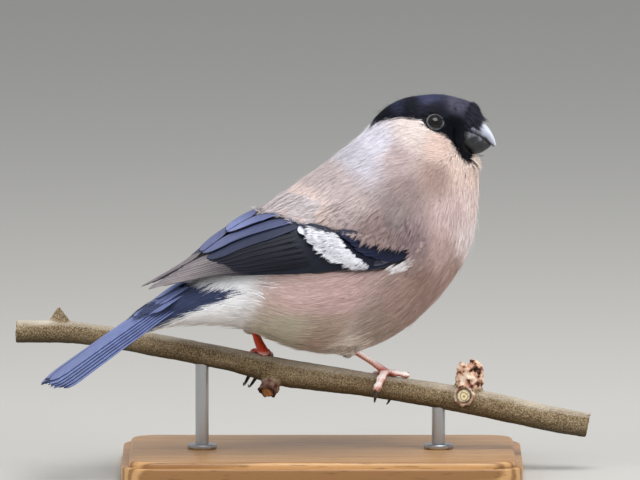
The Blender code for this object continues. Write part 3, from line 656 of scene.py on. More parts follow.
def depth_inside(x, z, outline):
    """Distance to a closed outline in the side view, positive inside it."""
    nearest = np.full(len(x), 1e9)
    inside = np.zeros(len(x), dtype=bool)
    for (x0, z0), (x1, z1) in zip(outline, outline[1:] + outline[:1]):
        run = np.array((x1 - x0, z1 - z0))
        share = np.clip(((x - x0) * run[0] + (z - z0) * run[1]) / (run @ run), 0, 1)
        nearest = np.minimum(nearest, np.hypot(x - x0 - share * run[0], z - z0 - share * run[1]))
        crosses = ((z0 > z) != (z1 > z)) & (x < x0 + (z - z0) * (x1 - x0) / ((z1 - z0) or 1e-9))
        inside ^= crosses
    return np.where(inside, nearest, -nearest)


def colour_of(code):
    """A hex colour as an array of linear red, green and blue."""
    return np.array(linear(code)[:3])


def mixed(first, second, share):
    return first * (1 - share) + second * share


def plumage_colour(x, z, spread=0.0):
    """The coat's colour at points of the side view; spread shifts each point's markings."""
    palette = np.array([colour_of(place[2]) for place in PLUMAGE_PLACES])
    colour = place_weights(x, z, PLUMAGE_PLACES, 4.0) @ palette
    cap_palette = np.array([colour_of(place[2]) for place in CAP_COLOURS_AND_PAINTED_SHEEN])
    cap_colour = place_weights(x, z, CAP_COLOURS_AND_PAINTED_SHEEN, 5.0) @ cap_palette
    for outline, marking, softness, shift in (
        (WHITE_OUTLINE, colour_of(RUMP_WHITE), 5.0, 1.6),
        (BLUE_OUTLINE, colour_of(COVERT_BLUE), 0.5, 0.8),
        (CAP_OUTLINE, cap_colour, 0.35, 0.5),
    ):
        depth = depth_inside(x, z, outline) + spread * shift
        share = np.clip(depth / softness + 0.5, 0, 1)[:, None]
        colour = mixed(colour, marking, share)
    return colour


def give_colour(piece, name, colours):
    made = piece.data.color_attributes.new(name, "FLOAT_COLOR", "POINT")
    values = np.ones((len(colours), 4), dtype=np.float32)
    values[:, :3] = colours
    made.data.foreach_set("color", values.ravel())


TAIL_ROOT = (-47.7, 55.7)  # x and z of the tail's upper line, at its root and at its tip
TAIL_TIP = (-88.2, 29.8)
FLESH_END = 0.4  # share of the tail that its flesh reaches to
FLESH_HALF_WIDTH = 7.0
FLESH_HEIGHT = 9.6
FLESH_SIDES = 28


def body_to_world(x, side, z):
    """Points of the unturned body's frame in the world's."""
    cos, sin = math.cos(BODY_YAW), math.sin(BODY_YAW)
    return np.stack((x * cos - side * sin, x * sin + side * cos, z), axis=-1)


def tail_point(share, across, lift):
    """Points on the tail: share of its length, offset from its middle, height."""
    run = np.array((TAIL_TIP[0] - TAIL_ROOT[0], TAIL_TIP[1] - TAIL_ROOT[1]))
    up = np.array((run[1], -run[0])) / np.linalg.norm(run)
    x = TAIL_ROOT[0] + run[0] * share + up[0] * lift
    z = TAIL_ROOT[1] + run[1] * share + up[1] * lift
    return body_to_world(x, across, z)


def loft(name, rings):
    """Joins rings of equal count into a closed skin with a flat face at each end."""
    sides = len(rings[0])
    shape = bmesh.new()
    rows = [[shape.verts.new(Vector(point) * MM) for point in ring] for ring in rings]
    for before, after in zip(rows, rows[1:]):
        for i in range(sides):
            j = (i + 1) % sides
            shape.faces.new((before[i], before[j], after[j], after[i]))
    shape.faces.new(rows[0])
    shape.faces.new(rows[-1])
    bmesh.ops.recalc_face_normals(shape, faces=shape.faces)
    made = bpy.data.meshes.new(name)
    shape.to_mesh(made)
    shape.free()
    return new_piece(name, made)


flesh_rings = []
for share in np.linspace(-0.06, FLESH_END, 9):
    part = max(share, 0) / FLESH_END
    turn = np.arange(FLESH_SIDES) / FLESH_SIDES * math.tau
    under = FLESH_HEIGHT * (1 - part) ** 0.8 + 1.2
    across = FLESH_HALF_WIDTH * (1 - 0.55 * part) * np.sin(turn)
    flesh_rings.append(tail_point(share, across, (np.cos(turn) - 1) * under / 2 - 0.8))
tail_flesh = loft("tail flesh", flesh_rings)
skin = frame_copy("skin", *SKIN_NODES)
tail_flesh.select_set(True)
bpy.ops.object.join()
even_out(skin, SKIN_VOXEL, 8)
bpy.ops.object.shade_smooth()
skin_points = mesh_points(skin)
skin_x, _, skin_z, _ = own_frame(skin_points)
skin_depth = np.where(skin_x > 30, FACE_DEPTH, SKIN_DEPTH)
move_points(skin, slimmed(skin_points - mesh_normals(skin) * skin_depth[:, None]))
give_colour(skin, "plumage", plumage_colour(skin_x, skin_z) * SKIN_TONE)

# Feathered skin: matt, and darker than the coat over it, as down is.
feathered_skin, skin_shader = new_finish("feathered skin", Roughness=0.95)
skin_colour = add_node(feathered_skin, "Attribute", {}, attribute_name="plumage")
skin_place = add_node(feathered_skin, "TexCoord", {})
skin_pores = add_node(
    feathered_skin, "TexNoise", {"Vector": (skin_place, "Object"), "Scale": noise_scale(0.8)}
)
skin_relief = add_node(
    feathered_skin, "Bump", {"Height": skin_pores, "Strength": 0.5, "Distance": 0.2 * MM}
)
set_inputs(skin_shader, {"Base Color": skin_colour, "Normal": skin_relief})
settle(skin, "body_skin", feathered_skin)
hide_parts("torso", "neck", "head", "thigh_left", "thigh_right")

# Wings: each folded wing is a thin arm with tiers of stiff feathers that lie on each other
# like slates: primaries lowest, then secondaries, tertials and the coverts in front, whose
# pale tips make the bar across the wing.
WING_STATIONS = (
    (7.3, 95.9, 23.8, 67.6, 24.2),
    (0.0, 91.9, 10.5, 63.4, 25.7),
    (-8.6, 86.5, -2.1, 62.6, 25.8),
    (-17.2, 80.2, -14.1, 61.7, 23.8),
    (-24.5, 75.6, -24.5, 61.4, 20.3),
    (-31.8, 71.0, -32.5, 61.0, 16.0),
    (-37.9, 66.5, -38.3, 60.5, 12.0),
    (-43.6, 63.1, -45.0, 59.2, 8.5),
    (-49.9, 60.0, -51.7, 57.7, 6.0),
    (-56.3, 56.9, -57.3, 56.3, 4.0),
)  # x and z of the upper edge, x and z of the lower edge, distance of that from the middle
WING_FRONT = ((0.0, 0.06, 0.21, 0.29, 0.33, 0.38), (0.96, 0.88, 0.73, 0.56, 0.35, 0.03))
ARM_NARROWING = 0.9  # how fast the arm's upper edge drops behind that front
ARM_TAPER = 0.62
ARM_COLOURS = ("#181A22", "#625B5D")  # at its front and at its tip
SIDES = {"left": 1, "right": -1}
WING_DEPTH = 2.2
WING_DIP = 0.7  # how far the blades at the bend lie under the breast's feathers
VANE_THICKNESS = 0.16
VANE_TILT = 0.15  # each blade's upper edge is tucked under the one above it
VANE_ROWS = 34
VANE_COLUMNS = (
    -1, -0.95, -0.82, -0.6, -0.35, -0.1, -0.045, 0, 0.045, 0.1, 0.35, 0.6, 0.8, 0.9, 0.96, 1,
)
BARB_WIDTH = 0.45  # mm between the drawn barbs of a vane
BARB_SLANT = 1.3
FEATHER_SEED = 11
# Tiers from the lowest: how many feathers, where the middle of the first, some between and
# the last start and end (shares of the wing's length and of the way down), width, height at
# first and last, how far the tip is rounded, the colours of the blade and its edge, and how
# bright the first and the last are.
WING_TIERS = (
    (
        "primary", 9,
        ((0.20, 0.96, 0.985, 0.62), (0.26, 0.86, 0.95, 0.34), (0.3, 0.8, 0.80, 0.12)),
        5.4, (0.0, 0.28), 0.42, ("#131418", "#676063"), "#8A8280", (1.0, 1.1),
    ),
    (
        "secondary", 7,
        ((0.26, 0.87, 0.585, 0.84), (0.28, 0.72, 0.63, 0.68), (0.30, 0.55, 0.69, 0.44)),
        4.6, (0.25, 0.52), 0.3, ("#0B0B0F", "#111116"), "#24242E", (0.9, 1.1),
    ),
    (
        "tertial", 3,
        ((0.29, 0.46, 0.69, 0.37), (0.31, 0.38, 0.675, 0.10), (0.335, 0.2, 0.53, 0.03)),
        6.9, (0.58, 0.9), 0.26, ("#454B68", "#5A6184"), "#0E0F16", (0.3, 1.5),
    ),
    (
        "alula", 3,
        ((0.03, 0.98, 0.20, 0.975), (0.03, 0.95, 0.15, 0.96), (0.02, 0.93, 0.11, 0.965)),
        3.0, (0.3, 0.5), 0.35, ("#1C1C24", "#2C2B34"), "#4A4A54", (0.9, 1.1),
    ),
    (
        "greater covert", 9,
        ((0.05, 0.94, 0.20, 0.96), (0.14, 0.81, 0.275, 0.83), (0.22, 0.645, 0.312, 0.575)),
        4.6, (0.4, 0.86), 0.3, ("#10121F", "#151829"), "#1E2238", (0.8, 1.1),
    ),
    (
        "median covert", 8,
        ((-0.02, 0.95, 0.10, 0.96), (0.04, 0.86, 0.165, 0.87), (0.13, 0.75, 0.205, 0.73)),
        3.8, (0.75, 1.0), 0.35, ("#111422", "#181C30"), "#22263E", (0.8, 1.2),
    ),
)
BAR_WHITE = "#CFD0DA"
BAR_LENGTH = (2.8, 1.4)  # of the white tips, at the lowest covert and at the highest


def smooth_row(table, place):
    """Reads a table of stations between its rows on a smooth curve, at many places."""
    table = np.array(table)
    place = np.clip(place, 0.0, len(table) - 1.0)
    row = np.minimum(place.astype(int), len(table) - 2)
    part = (place - row)[..., None]
    p, a = table[np.maximum(row - 1, 0)], table[row]
    b, q = table[row + 1], table[np.minimum(row + 2, len(table) - 1)]
    bend = (2 * p - 5 * a + 4 * b - q) * part**2 + (3 * (a - b) + q - p) * part**3
    return np.moveaxis(a + 0.5 * ((b - p) * part + bend), -1, 0)


def between(start, end, share):
    """The value at a share of the way from one to the other."""
    return start + (end - start) * share


def wing_point(along, down, out, side):
    """Points on the folded wing: share of its length, share of the way down, height."""
    top_x, top_z, low_x, low_z, width = smooth_row(WING_STATIONS, along * (len(WING_STATIONS) - 1))
    angle = down * math.pi / 2
    x = between(top_x, low_x, 1 - np.cos(angle))
    across = width * np.sin(angle)
    z = between(low_z, top_z, np.cos(angle))
    sideways, upwards = np.sin(angle) * (top_z - low_z), np.cos(angle) * width
    steep = np.hypot(sideways, upwards)
    across = np.maximum(across + sideways / steep * out, 0.5)
    return body_to_world(x, side * across, z + upwards / steep * out)


def wing_rise(along):
    return -1.0 + np.clip(along / 0.35, 0, 1)


def wing_arc(along):
    """Length of the wing's curve from its upper edge to its lower edge."""
    _, top_z, _, low_z, width = smooth_row(WING_STATIONS, along * (len(WING_STATIONS) - 1))
    return math.pi / 2 * np.sqrt((width**2 + (top_z - low_z) ** 2) / 2)


def mesh_of(name, points, faces):
    """An object of many points and of faces that all have the same number of corners."""
    made = bpy.data.meshes.new(name)
    made.vertices.add(len(points))
    made.vertices.foreach_set("co", (points * MM).ravel())
    made.loops.add(faces.size)
    made.loops.foreach_set("vertex_index", faces.ravel())
    made.polygons.add(len(faces))
    made.polygons.foreach_set("loop_start", np.arange(len(faces)) * faces.shape[1])
    made.update(calc_edges=True)
    return new_piece(name, made)


def give_map(piece, places):
    """The map named OFBake, with one place for each corner of each face."""
    unwrap = piece.data.uv_layers.new(name="OFBake")
    unwrap.data.foreach_set("uv", places.astype(np.float32).ravel())


class Vanes:
    """Collects the blades of feathers, which then become one mesh."""

    def __init__(self):
        self.points, self.faces, self.maps = [], [], []
        self.values = {"along": [], "across": [], "edge": [], "shade": [], "fringe": []}

    def add(self, top, bottom, values):
        """A closed blade from two grids of points, the upper one first."""
        rows, columns = top.shape[:2]
        start = sum(len(points) for points in self.points)
        number = np.arange(rows * columns).reshape(rows, columns)
        before, after = number[:-1], number[1:]
        quads = np.stack((before[:, :-1], before[:, 1:], after[:, 1:], after[:, :-1]), axis=-1)
        quads = quads.reshape(-1, 4)
        rim = np.concatenate((number[0, :], number[1:, -1], number[-1, -2::-1], number[-2:0:-1, 0]))
        after = np.roll(rim, -1)
        under = rows * columns
        walls = np.stack((rim, rim + under, after + under, after), axis=-1)
        faces = np.concatenate((quads, quads[:, ::-1] + under, walls))
        points = np.concatenate((top.reshape(-1, 3), bottom.reshape(-1, 3)))
        middle = points.mean(axis=0)
        corners = points[faces] - middle
        volume = np.sum(np.cross(corners[:, 0], corners[:, 1]) * corners[:, 2])
        volume += np.sum(np.cross(corners[:, 0], corners[:, 2]) * corners[:, 3])
        if volume < 0:
            faces = faces[:, ::-1]
        t = np.repeat(np.linspace(0, 1, rows), columns)
        v = np.tile(np.linspace(0, 1, columns), rows)
        flat = np.stack((t, v), axis=-1)
        flat = np.concatenate((flat * (1, 0.48), flat * (1, 0.48) + (0, 0.5)))
        self.maps.append((flat, faces))
        self.points.append(points)
        self.faces.append(faces + start)
        for name, grid in values.items():
            flat_values = grid.reshape(rows * columns, -1)
            self.values[name].append(np.concatenate((flat_values, flat_values)))

    def mesh(self, name, finish):
        piece = mesh_of(name, np.concatenate(self.points), np.concatenate(self.faces))
        for key in ("along", "across", "edge"):
            give_attribute(piece, key, np.concatenate(self.values[key])[:, 0])
        for key in ("shade", "fringe"):
            give_colour(piece, key, np.concatenate(self.values[key]))
        cells = math.ceil(math.sqrt(len(self.maps)))
        uv = []
        for i, (flat, own_faces) in enumerate(self.maps):
            corner = np.array((i % cells, i // cells)) / cells
            uv.append((flat * 0.94 / cells + corner + 0.03 / cells)[own_faces].reshape(-1, 2))
        give_map(piece, np.concatenate(uv))
        take(piece)
        bpy.ops.object.shade_smooth_by_angle(angle=math.radians(50))
        settle(piece, name, finish)
        return piece


def blade(vanes, place, long, width, rounding, colours, chance, lean=0.15, white=0.0, bright=1.0):
    """One feather's blade. place gives points for shares along it, offsets and heights."""
    shares = np.linspace(0, 1, VANE_ROWS) ** 0.9
    t, v = np.meshgrid(shares, np.array(VANE_COLUMNS, dtype=float), indexing="ij")
    body = 0.6 + 0.4 * np.minimum(t / 0.35, 1) ** 0.7
    tip = np.sqrt(np.clip(1 - np.clip((t - 1 + rounding) / rounding, 0, 1) ** 2, 0.0, 1))
    wobble = np.interp(t, np.linspace(0, 1, 15), chance.normal(0, 0.018, 15))
    half = width / 2 * body * np.maximum(tip, 0.05) * (1 + wobble * np.abs(v))
    offset = half * (v + lean * (1 - v**2))
    ridge = np.where(np.abs(v) < 0.02, 0.13, np.where(np.abs(v) < 0.06, 0.08, 0.0)) * (1 - 0.7 * t)
    camber = -0.05 * half * v**2
    curl = -0.25 * np.clip((t - 0.8) / 0.2, 0, 1) ** 2
    lift = ridge + camber + curl * (1 + v) * 0.3
    fray = chance.normal(0, 0.006, t.shape) * (np.abs(v) > 0.85) * (t > 0.3)
    top = place(t + fray, offset, lift)
    bottom = place(t + fray, offset, lift - VANE_THICKNESS - ridge)
    near, far, fringe = (colour_of(code) for code in colours)
    tone = chance.uniform(0.9, 1.1) * bright
    turned = np.clip((t - 0.35) / 0.45, 0, 1)[..., None]
    shades = mixed(near, far, turned) * tone
    fringes = mixed(near * 1.3, fringe, turned) * tone
    if white:
        ragged = np.interp(v, np.linspace(-1, 1, 9), chance.uniform(-0.5, 0.5, 9))
        pale = np.clip(((t - 1) * long + white + ragged) / 0.9 + 0.5, 0, 1)[..., None]
        shades = mixed(shades, colour_of(BAR_WHITE), pale)
        fringes = mixed(fringes, colour_of(BAR_WHITE), pale)
    vanes.add(
        top,
        bottom,
        {
            "along": t * long,
            "across": offset - lean * half,
            "edge": (1 - v) * half,
            "shade": shades,
            "fringe": fringes,
        },
    )


def wing_blade(vanes, side, row, width, height, rounding, colours, chance, white, bright):
    root_along, root_down, tip_along, tip_down = row

    def place(t, offset, lift):
        along = between(root_along, tip_along, t)
        arc = wing_arc(along)
        down = between(root_down, tip_down, t) + offset / arc
        highest = np.where(along < 0.4, np.interp(along, *WING_FRONT) - 0.06, 0.0)
        down = np.clip(down, highest, 1.03)
        out = wing_rise(along) + height - 1.3 * (1 - np.clip(t, 0, 1)) ** 3
        out = out + offset * VANE_TILT + lift
        out = out - WING_DIP * np.clip(1 - along / 0.2, 0, 1)
        return wing_point(along, down, out, side)

    ends = place(np.linspace(0, 1, 20), np.zeros(20), np.zeros(20))
    long = float(np.linalg.norm(np.diff(ends, axis=0), axis=1).sum())
    blade(vanes, place, long, width, rounding, colours, chance, 0.15, white, bright)


# Flight feathers: smooth horn-like blades. Their barbs, 0.1 mm apart on the real bird, are
# drawn 0.45 mm apart so that they show, and give the blades a soft silky gloss.
flight_blades, blade_shader = new_finish(
    "glossy flight feathers",
    Roughness=0.45,
    Specular_IOR_Level=0.35,
    Specular_Tint=linear("#CDD2EA"),
)
blade_along, blade_across, blade_edge, blade_shade, blade_fringe = (
    add_node(flight_blades, "Attribute", {}, attribute_name=name)
    for name in ("along", "across", "edge", "shade", "fringe")
)
blade_off = add_node(flight_blades, "Math", {0: (blade_across, "Fac")}, operation="ABSOLUTE")
blade_slope = add_node(
    flight_blades, "Math", {0: blade_off, 1: -BARB_SLANT, 2: (blade_along, "Fac")}, operation="MULTIPLY_ADD"
)
blade_phase = add_node(
    flight_blades, "Math", {0: blade_slope, 1: math.tau / BARB_WIDTH}, operation="MULTIPLY"
)
blade_barbs = add_node(flight_blades, "Math", {0: blade_phase}, operation="SINE")
blade_place = add_node(flight_blades, "CombineXYZ", {"X": blade_slope, "Y": (blade_across, "Fac")})
blade_stretch = add_node(
    flight_blades, "Mapping", {"Vector": blade_place, "Scale": (2.2, 0.25, 1.0)}
)
blade_noise = add_node(
    flight_blades, "TexNoise", {"Vector": blade_stretch, "Scale": 1.0, "Detail": 3.0}
)
blade_tone = add_node(
    flight_blades,
    "MapRange",
    {
        "Value": blade_noise,
        "From Min": 0.25,
        "From Max": 0.75,
        "To Min": 0.78,
        "To Max": 1.22,
    },
)
blade_ragged = add_node(
    flight_blades, "Math", {0: blade_noise, 1: -0.5, 2: (blade_edge, "Fac")}, operation="MULTIPLY_ADD"
)
blade_fringed = add_node(
    flight_blades, "MapRange", {"Value": blade_ragged, "From Min": 0.4, "From Max": 0.0}
)
blade_mixed = add_node(
    flight_blades, "MixRGB", {"Fac": blade_fringed, "Color1": blade_shade, "Color2": blade_fringe}
)
blade_colour = add_node(
    flight_blades, "VectorMath", {0: blade_mixed, 3: blade_tone}, operation="SCALE"
)
blade_relief = add_node(
    flight_blades, "Bump", {"Height": blade_barbs, "Strength": 0.35, "Distance": 0.04 * MM}
)
set_inputs(blade_shader, {"Base Color": blade_colour, "Normal": blade_relief})

feather_chance = np.random.default_rng(FEATHER_SEED)
for side_name, side in SIDES.items():
    wing_vanes = Vanes()
    arm_along, arm_down = np.meshgrid(np.linspace(0, 0.9, 60), np.linspace(0, 1, 24), indexing="ij")
    behind_front = np.maximum(arm_along - WING_FRONT[0][-1], 0)
    arm_top = np.interp(arm_along, *WING_FRONT) + behind_front * ARM_NARROWING
    arm_down = arm_top + (1 - arm_top) * arm_down
    arm_depth = WING_DEPTH * (1 - ARM_TAPER * arm_along)
    arm_tip = np.clip((arm_along - 0.5) / 0.2, 0, 1)[..., None]
    arm_dark = mixed(colour_of(ARM_COLOURS[0]), colour_of(ARM_COLOURS[1]), arm_tip)
    wing_vanes.add(
        wing_point(arm_along, arm_down, wing_rise(arm_along) - 0.35, side),
        wing_point(arm_along, arm_down, wing_rise(arm_along) - arm_depth, side),
        {
            "along": arm_along * 70,
            "across": arm_down * 20,
            "edge": arm_along * 0 + 5,
            "shade": arm_dark,
            "fringe": arm_dark,
        },
    )
    for kind, count, rows, width, heights, rounding, shades, fringe, tones in WING_TIERS:
        places = np.linspace(0, len(rows) - 1, count)
        for i, place_row in enumerate(smooth_row(rows, places).T):
            share = i / (count - 1)
            row = place_row + (0, 0, feather_chance.uniform(-0.006, 0.006), 0)
            height = between(*heights, share)
            white = between(*BAR_LENGTH, share) if kind == "greater covert" else 0.0
            bright = between(*tones, share)
            colours = (*shades, fringe)
            wing_blade(
                wing_vanes, side, row, width, height, rounding, colours, feather_chance, white, bright
            )
    folded_wing = wing_vanes.mesh("folded_wing_" + side_name, flight_blades)
    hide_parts("wing_" + side_name)

# Tail: six pairs of long blades fanned a little, the middle pair on top, over the flesh of
# the rump. Shorter blue-black coverts cover their roots above, white plumage below.
TAIL_HALF_WIDTHS = (7.0, 11.3)
TAIL_LENGTH = 48.1
TAIL_PAIRS = 6
TAIL_WIDTH = 7.0
TAIL_DROP = 0.58
TAIL_NOTCH = 0.045
# painted gloss: the blades are glossy blue-black, and this lighter steel-blue paints their sheen
TAIL_BLUE_AND_PAINTED_GLOSS = ("#66719C", "#69739A")
TAIL_FRINGE = "#252A40"
TAIL_COVERTS = (
    (0.30, 0.0), (0.26, 2.4), (0.26, -2.4), (0.235, 4.0), (0.235, -4.0), (0.20, 5.4), (0.20, -5.4),
    (0.17, 1.4), (0.17, -1.4), (0.14, 3.4), (0.14, -3.4), (0.11, 0.2),
)


def tail_blade(vanes, start, end, across, end_across, width, lift, outer, rounding, chance):
    def place(t, offset, height):
        share = between(start, end, t)
        middle = between(across, end_across, t)
        rise = lift - 0.8 * (1 - np.clip(t, 0, 1)) ** 4 - outer * offset * 0.06
        return tail_point(share, middle + offset, rise + height)

    long = (end - start) * TAIL_LENGTH
    # colours that hold the painted gloss
    blade(vanes, place, long, width, rounding, (*TAIL_BLUE_AND_PAINTED_GLOSS, TAIL_FRINGE), chance, 0.25 * outer)


tail_vanes = Vanes()
tail_reach = TAIL_HALF_WIDTHS[1] - TAIL_WIDTH / 2
for outer in (1, -1):
    for pair in range(TAIL_PAIRS):
        share = pair / (TAIL_PAIRS - 1)
        end = 1.0 - TAIL_NOTCH * (1 - math.sin(math.pi * min(share + 0.15, 1.0)))
        tail_blade(
            tail_vanes,
            0.05,
            end + feather_chance.uniform(-0.004, 0.004),
            outer * (1.4 + 2.6 * share),
            outer * (2.0 + (tail_reach - 2.0) * share),
            TAIL_WIDTH,
            -TAIL_DROP * pair - (0.2 if outer > 0 else 0.0),
            outer,
            0.12,
            feather_chance,
        )
for i, (end, across) in enumerate(TAIL_COVERTS):
    outer = 1 if across > 0 else -1
    lift = 0.45 + i * 0.03 - abs(across) * 0.28
    tail_blade(
        tail_vanes, end - 0.22, end, across * 0.75, across, 4.6, lift, outer, 0.4, feather_chance
    )
tail_piece = tail_vanes.mesh("tail_feathers", flight_blades)
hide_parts("tail")

# Bill: two short swollen halves of horn over bone, the upper one with a ridge and a hooked
# tip. They close along a line that dips towards the corner of the mouth.
UPPER_BILL = (
    (42.5, 107.2, 43.2, 101.3, 5.6),
    (46.5, 106.2, 45.8, 100.6, 5.3),
    (49.0, 104.8, 48.2, 99.7, 4.4),
    (51.0, 102.8, 50.0, 98.8, 3.5),
    (52.6, 100.6, 51.4, 97.9, 2.4),
    (53.6, 98.4, 52.5, 96.8, 1.2),
    (54.0, 96.7, 53.3, 96.2, 0.45),
)  # x and z of the ridge, x and z where the halves close, half the width there
LOWER_BILL = (
    (41.0, 96.6, 42.0, 102.2, 7.4),
    (43.6, 94.9, 44.9, 101.4, 6.6),
    (46.8, 93.9, 47.5, 100.4, 5.1),
    (49.6, 94.4, 49.7, 99.3, 3.6),
    (51.4, 95.5, 51.2, 98.2, 2.2),
    (52.5, 96.4, 52.1, 97.4, 1.0),
)
BILL_RINGS = 36
BILL_STEPS = 26
BILL_FLAT_STEPS = 8  # across the face where the halves close
HORN_HIGHLIGHT_GREY = "#CDD0DB"
HORN_DARK = "#0C0C0F"


def bill_half(name, table, edge_highlight, ridge_highlight, finish):
    rings, tones = [], []
    for place in np.linspace(0, len(table) - 1, BILL_RINGS):
        ridge_x, ridge_z, close_x, close_z, width = smooth_row(table, np.array([place]))[:, 0]
        turn = np.linspace(-math.pi / 2, math.pi / 2, BILL_STEPS)
        lift = np.cos(turn) ** 0.92
        side = width * np.sin(turn)
        x = between(close_x, ridge_x, lift)
        z = between(close_z, ridge_z, lift)
        flat = np.linspace(0.92, -0.92, BILL_FLAT_STEPS) * width
        x = np.concatenate((x, np.full(BILL_FLAT_STEPS, close_x)))
        z = np.concatenate((z, np.full(BILL_FLAT_STEPS, close_z)))
        side = np.concatenate((side, flat))
        rings.append(head_point(x, side, z))
        # painted highlight: the tone rises from the closing edge's value to the ridge's
        level = np.concatenate((lift, np.zeros(BILL_FLAT_STEPS)))
        tones.append(between(edge_highlight, ridge_highlight, level))
    piece = loft(name, rings)
    give_attribute(piece, "ridge", np.concatenate(tones))
    apply_modifier(piece, "SMOOTH", factor=0.4, iterations=3)
    bpy.ops.object.shade_smooth_by_angle(angle=math.radians(60))
    settle(piece, name, finish)
    return piece


# Horn: smooth and slightly translucent, almost black along the edges and below, with a dull polish and
# faint lines of growth 0.3 mm apart. The silvery grey rising towards the upper ridge is a painted
# highlight, as is the paler top of the lower half.
bill_horn, horn_shader = new_finish(
    "bill horn", Roughness=0.3, Specular_IOR_Level=0.4, Coat_Weight=0.1, Coat_Roughness=0.2
)
horn_painted_highlight = add_node(bill_horn, "Attribute", {}, attribute_name="ridge")
horn_place = add_node(bill_horn, "TexCoord", {})
horn_cloud = add_node(
    bill_horn, "TexNoise", {"Vector": (horn_place, "Object"), "Scale": noise_scale(0.9), "Detail": 4.0}
)
horn_level = add_node(
    bill_horn, "Math", {0: horn_cloud, 1: 0.35, 2: (horn_painted_highlight, "Fac")}, operation="MULTIPLY_ADD"
)
# painted highlight: the grey stops above the dark horn paint the gloss along the ridge
horn_tone = add_node(
    bill_horn,
    "ValToRGB",
    {"Fac": horn_level},
    stops=(
        (0.18, HORN_DARK), (0.34, "#2B2B30"), (0.48, "#8A8E9C"), (0.75, "#A9ADBB"), (1.0, HORN_HIGHLIGHT_GREY),
    ),
)
horn_lines = add_node(
    bill_horn, "TexNoise", {"Vector": (horn_place, "Object"), "Scale": noise_scale(0.3), "Detail": 2.0}
)
horn_relief = add_node(
    bill_horn, "Bump", {"Height": horn_lines, "Strength": 0.25, "Distance": 0.03 * MM}
)
set_inputs(horn_shader, {"Base Color": horn_tone, "Normal": horn_relief})
# painted highlight along the upper half's ridge
upper_bill = bill_half("upper_bill", UPPER_BILL, 0.0, 1.0, bill_horn)
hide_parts("bill_upper")
# painted highlight along the top of the lower half
lower_bill = bill_half("lower_bill", LOWER_BILL, 0.2, 0.03, bill_horn)
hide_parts("bill_lower")

# Eyes: wet dark balls set in the sides of the head, each with a rim of bare grey skin.
EYE_RADIUS = 2.6
EYE_SHOWN = 2.05
EYE_FACES = (0.1526, 0.825, 0.5441)  # the way the near eye looks out, side counted outwards
LID_RADIUS = 0.1
LID_REACH = 2.55  # from the eye's middle to the middle of its rim
LID_GRAINS = (0.35, 0.05)  # size and height
INNER_LID_FULLNESS = 1.3
EYE_BROWN = "#150C08"
wet_eye, eye_shader = new_finish("wet eye", Roughness=0.06, IOR=1.45)
eye_reach = add_node(wet_eye, "Attribute", {}, attribute_name="iris")
eye_tone = add_node(
    wet_eye,
    "ValToRGB",
    {"Fac": (eye_reach, "Fac")},
    stops=((0.6, "#020202"), (0.68, EYE_BROWN), (0.95, "#060404")),
)
set_inputs(eye_shader, {"Base Color": eye_tone})
# Eyelid: thin bare skin with fine grains, slightly moist.
lid_skin, lid_shader = new_finish("eyelid skin", Roughness=0.45)
lid_place = add_node(lid_skin, "TexCoord", {})
lid_grains = add_node(
    lid_skin, "TexVoronoi", {"Vector": (lid_place, "Object"), "Scale": 1 / (0.3 * MM)}
)
lid_tone = add_node(
    lid_skin, "ValToRGB", {"Fac": lid_grains}, stops=((0.2, "#82848C"), (0.8, "#47484F"))
)
lid_relief = add_node(
    lid_skin, "Bump", {"Height": lid_grains, "Strength": 0.6, "Distance": 0.05 * MM}, invert=True
)
set_inputs(lid_shader, {"Base Color": lid_tone, "Normal": lid_relief})
dark_lid, dark_shader = new_finish("moist dark eyelid", Base_Color=linear("#0B0A0C"), Roughness=0.4)
dark_place = add_node(dark_lid, "TexCoord", {})
dark_grains = add_node(
    dark_lid, "TexNoise", {"Vector": (dark_place, "Object"), "Scale": noise_scale(0.2)}
)
dark_relief = add_node(
    dark_lid, "Bump", {"Height": dark_grains, "Strength": 0.4, "Distance": 0.03 * MM}
)
set_inputs(dark_shader, {"Normal": dark_relief})
for side_name, side in SIDES.items():
    box_low, box_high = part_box("eye_" + side_name)
    centre = (box_low + box_high) / 2
    facing = head_point(EYE_FACES[0], side * EYE_FACES[1], EYE_FACES[2]) - head_point(0, 0, 0)
    facing = Vector(facing).normalized()
    turned = facing.to_track_quat("Z", "Y").to_euler()
    deselect()
    bpy.ops.mesh.primitive_uv_sphere_add(
        segments=48, ring_count=32, radius=EYE_RADIUS * MM, rotation=turned
    )
    eye = bpy.context.object
    eye.location = centre
    bpy.ops.object.transform_apply(location=True, rotation=True, scale=True)
    eye_points = mesh_points(eye) - np.array(centre) / MM
    ahead = eye_points @ np.array(facing)
    off_axis = np.linalg.norm(eye_points - np.outer(ahead, facing), axis=1)
    give_attribute(eye, "iris", np.where(ahead > 0, off_axis / EYE_SHOWN, 1.0))
    bpy.ops.object.shade_smooth()
    settle(eye, "eyeball_" + side_name, wet_eye)
    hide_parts("eye_" + side_name)
    rim_lift = math.sqrt(EYE_RADIUS**2 - EYE_SHOWN**2)
    lid_middle = (EYE_SHOWN + LID_REACH) / 2
    lid_thickness = (LID_REACH - EYE_SHOWN) / 2 * INNER_LID_FULLNESS
    for name, radius, thickness, sides, sunk, finish in (
        ("eye_rim_", LID_REACH, LID_RADIUS, 14, 0.05, lid_skin),
        ("eyelid_", lid_middle, lid_thickness, 16, 0.2, dark_lid),
    ):
        deselect()
        bpy.ops.mesh.primitive_torus_add(
            major_segments=64,
            minor_segments=sides,
            major_radius=radius * MM,
            minor_radius=thickness * MM,
            location=centre + facing * ((rim_lift - sunk) * MM),
            rotation=turned,
        )
        lid = bpy.context.object
        bpy.ops.object.transform_apply(location=True, rotation=True, scale=True)
        if finish is lid_skin:
            roughen(lid, *LID_GRAINS, "lid grains " + side_name)
        bpy.ops.object.shade_smooth()
        settle(lid, name + side_name, finish)

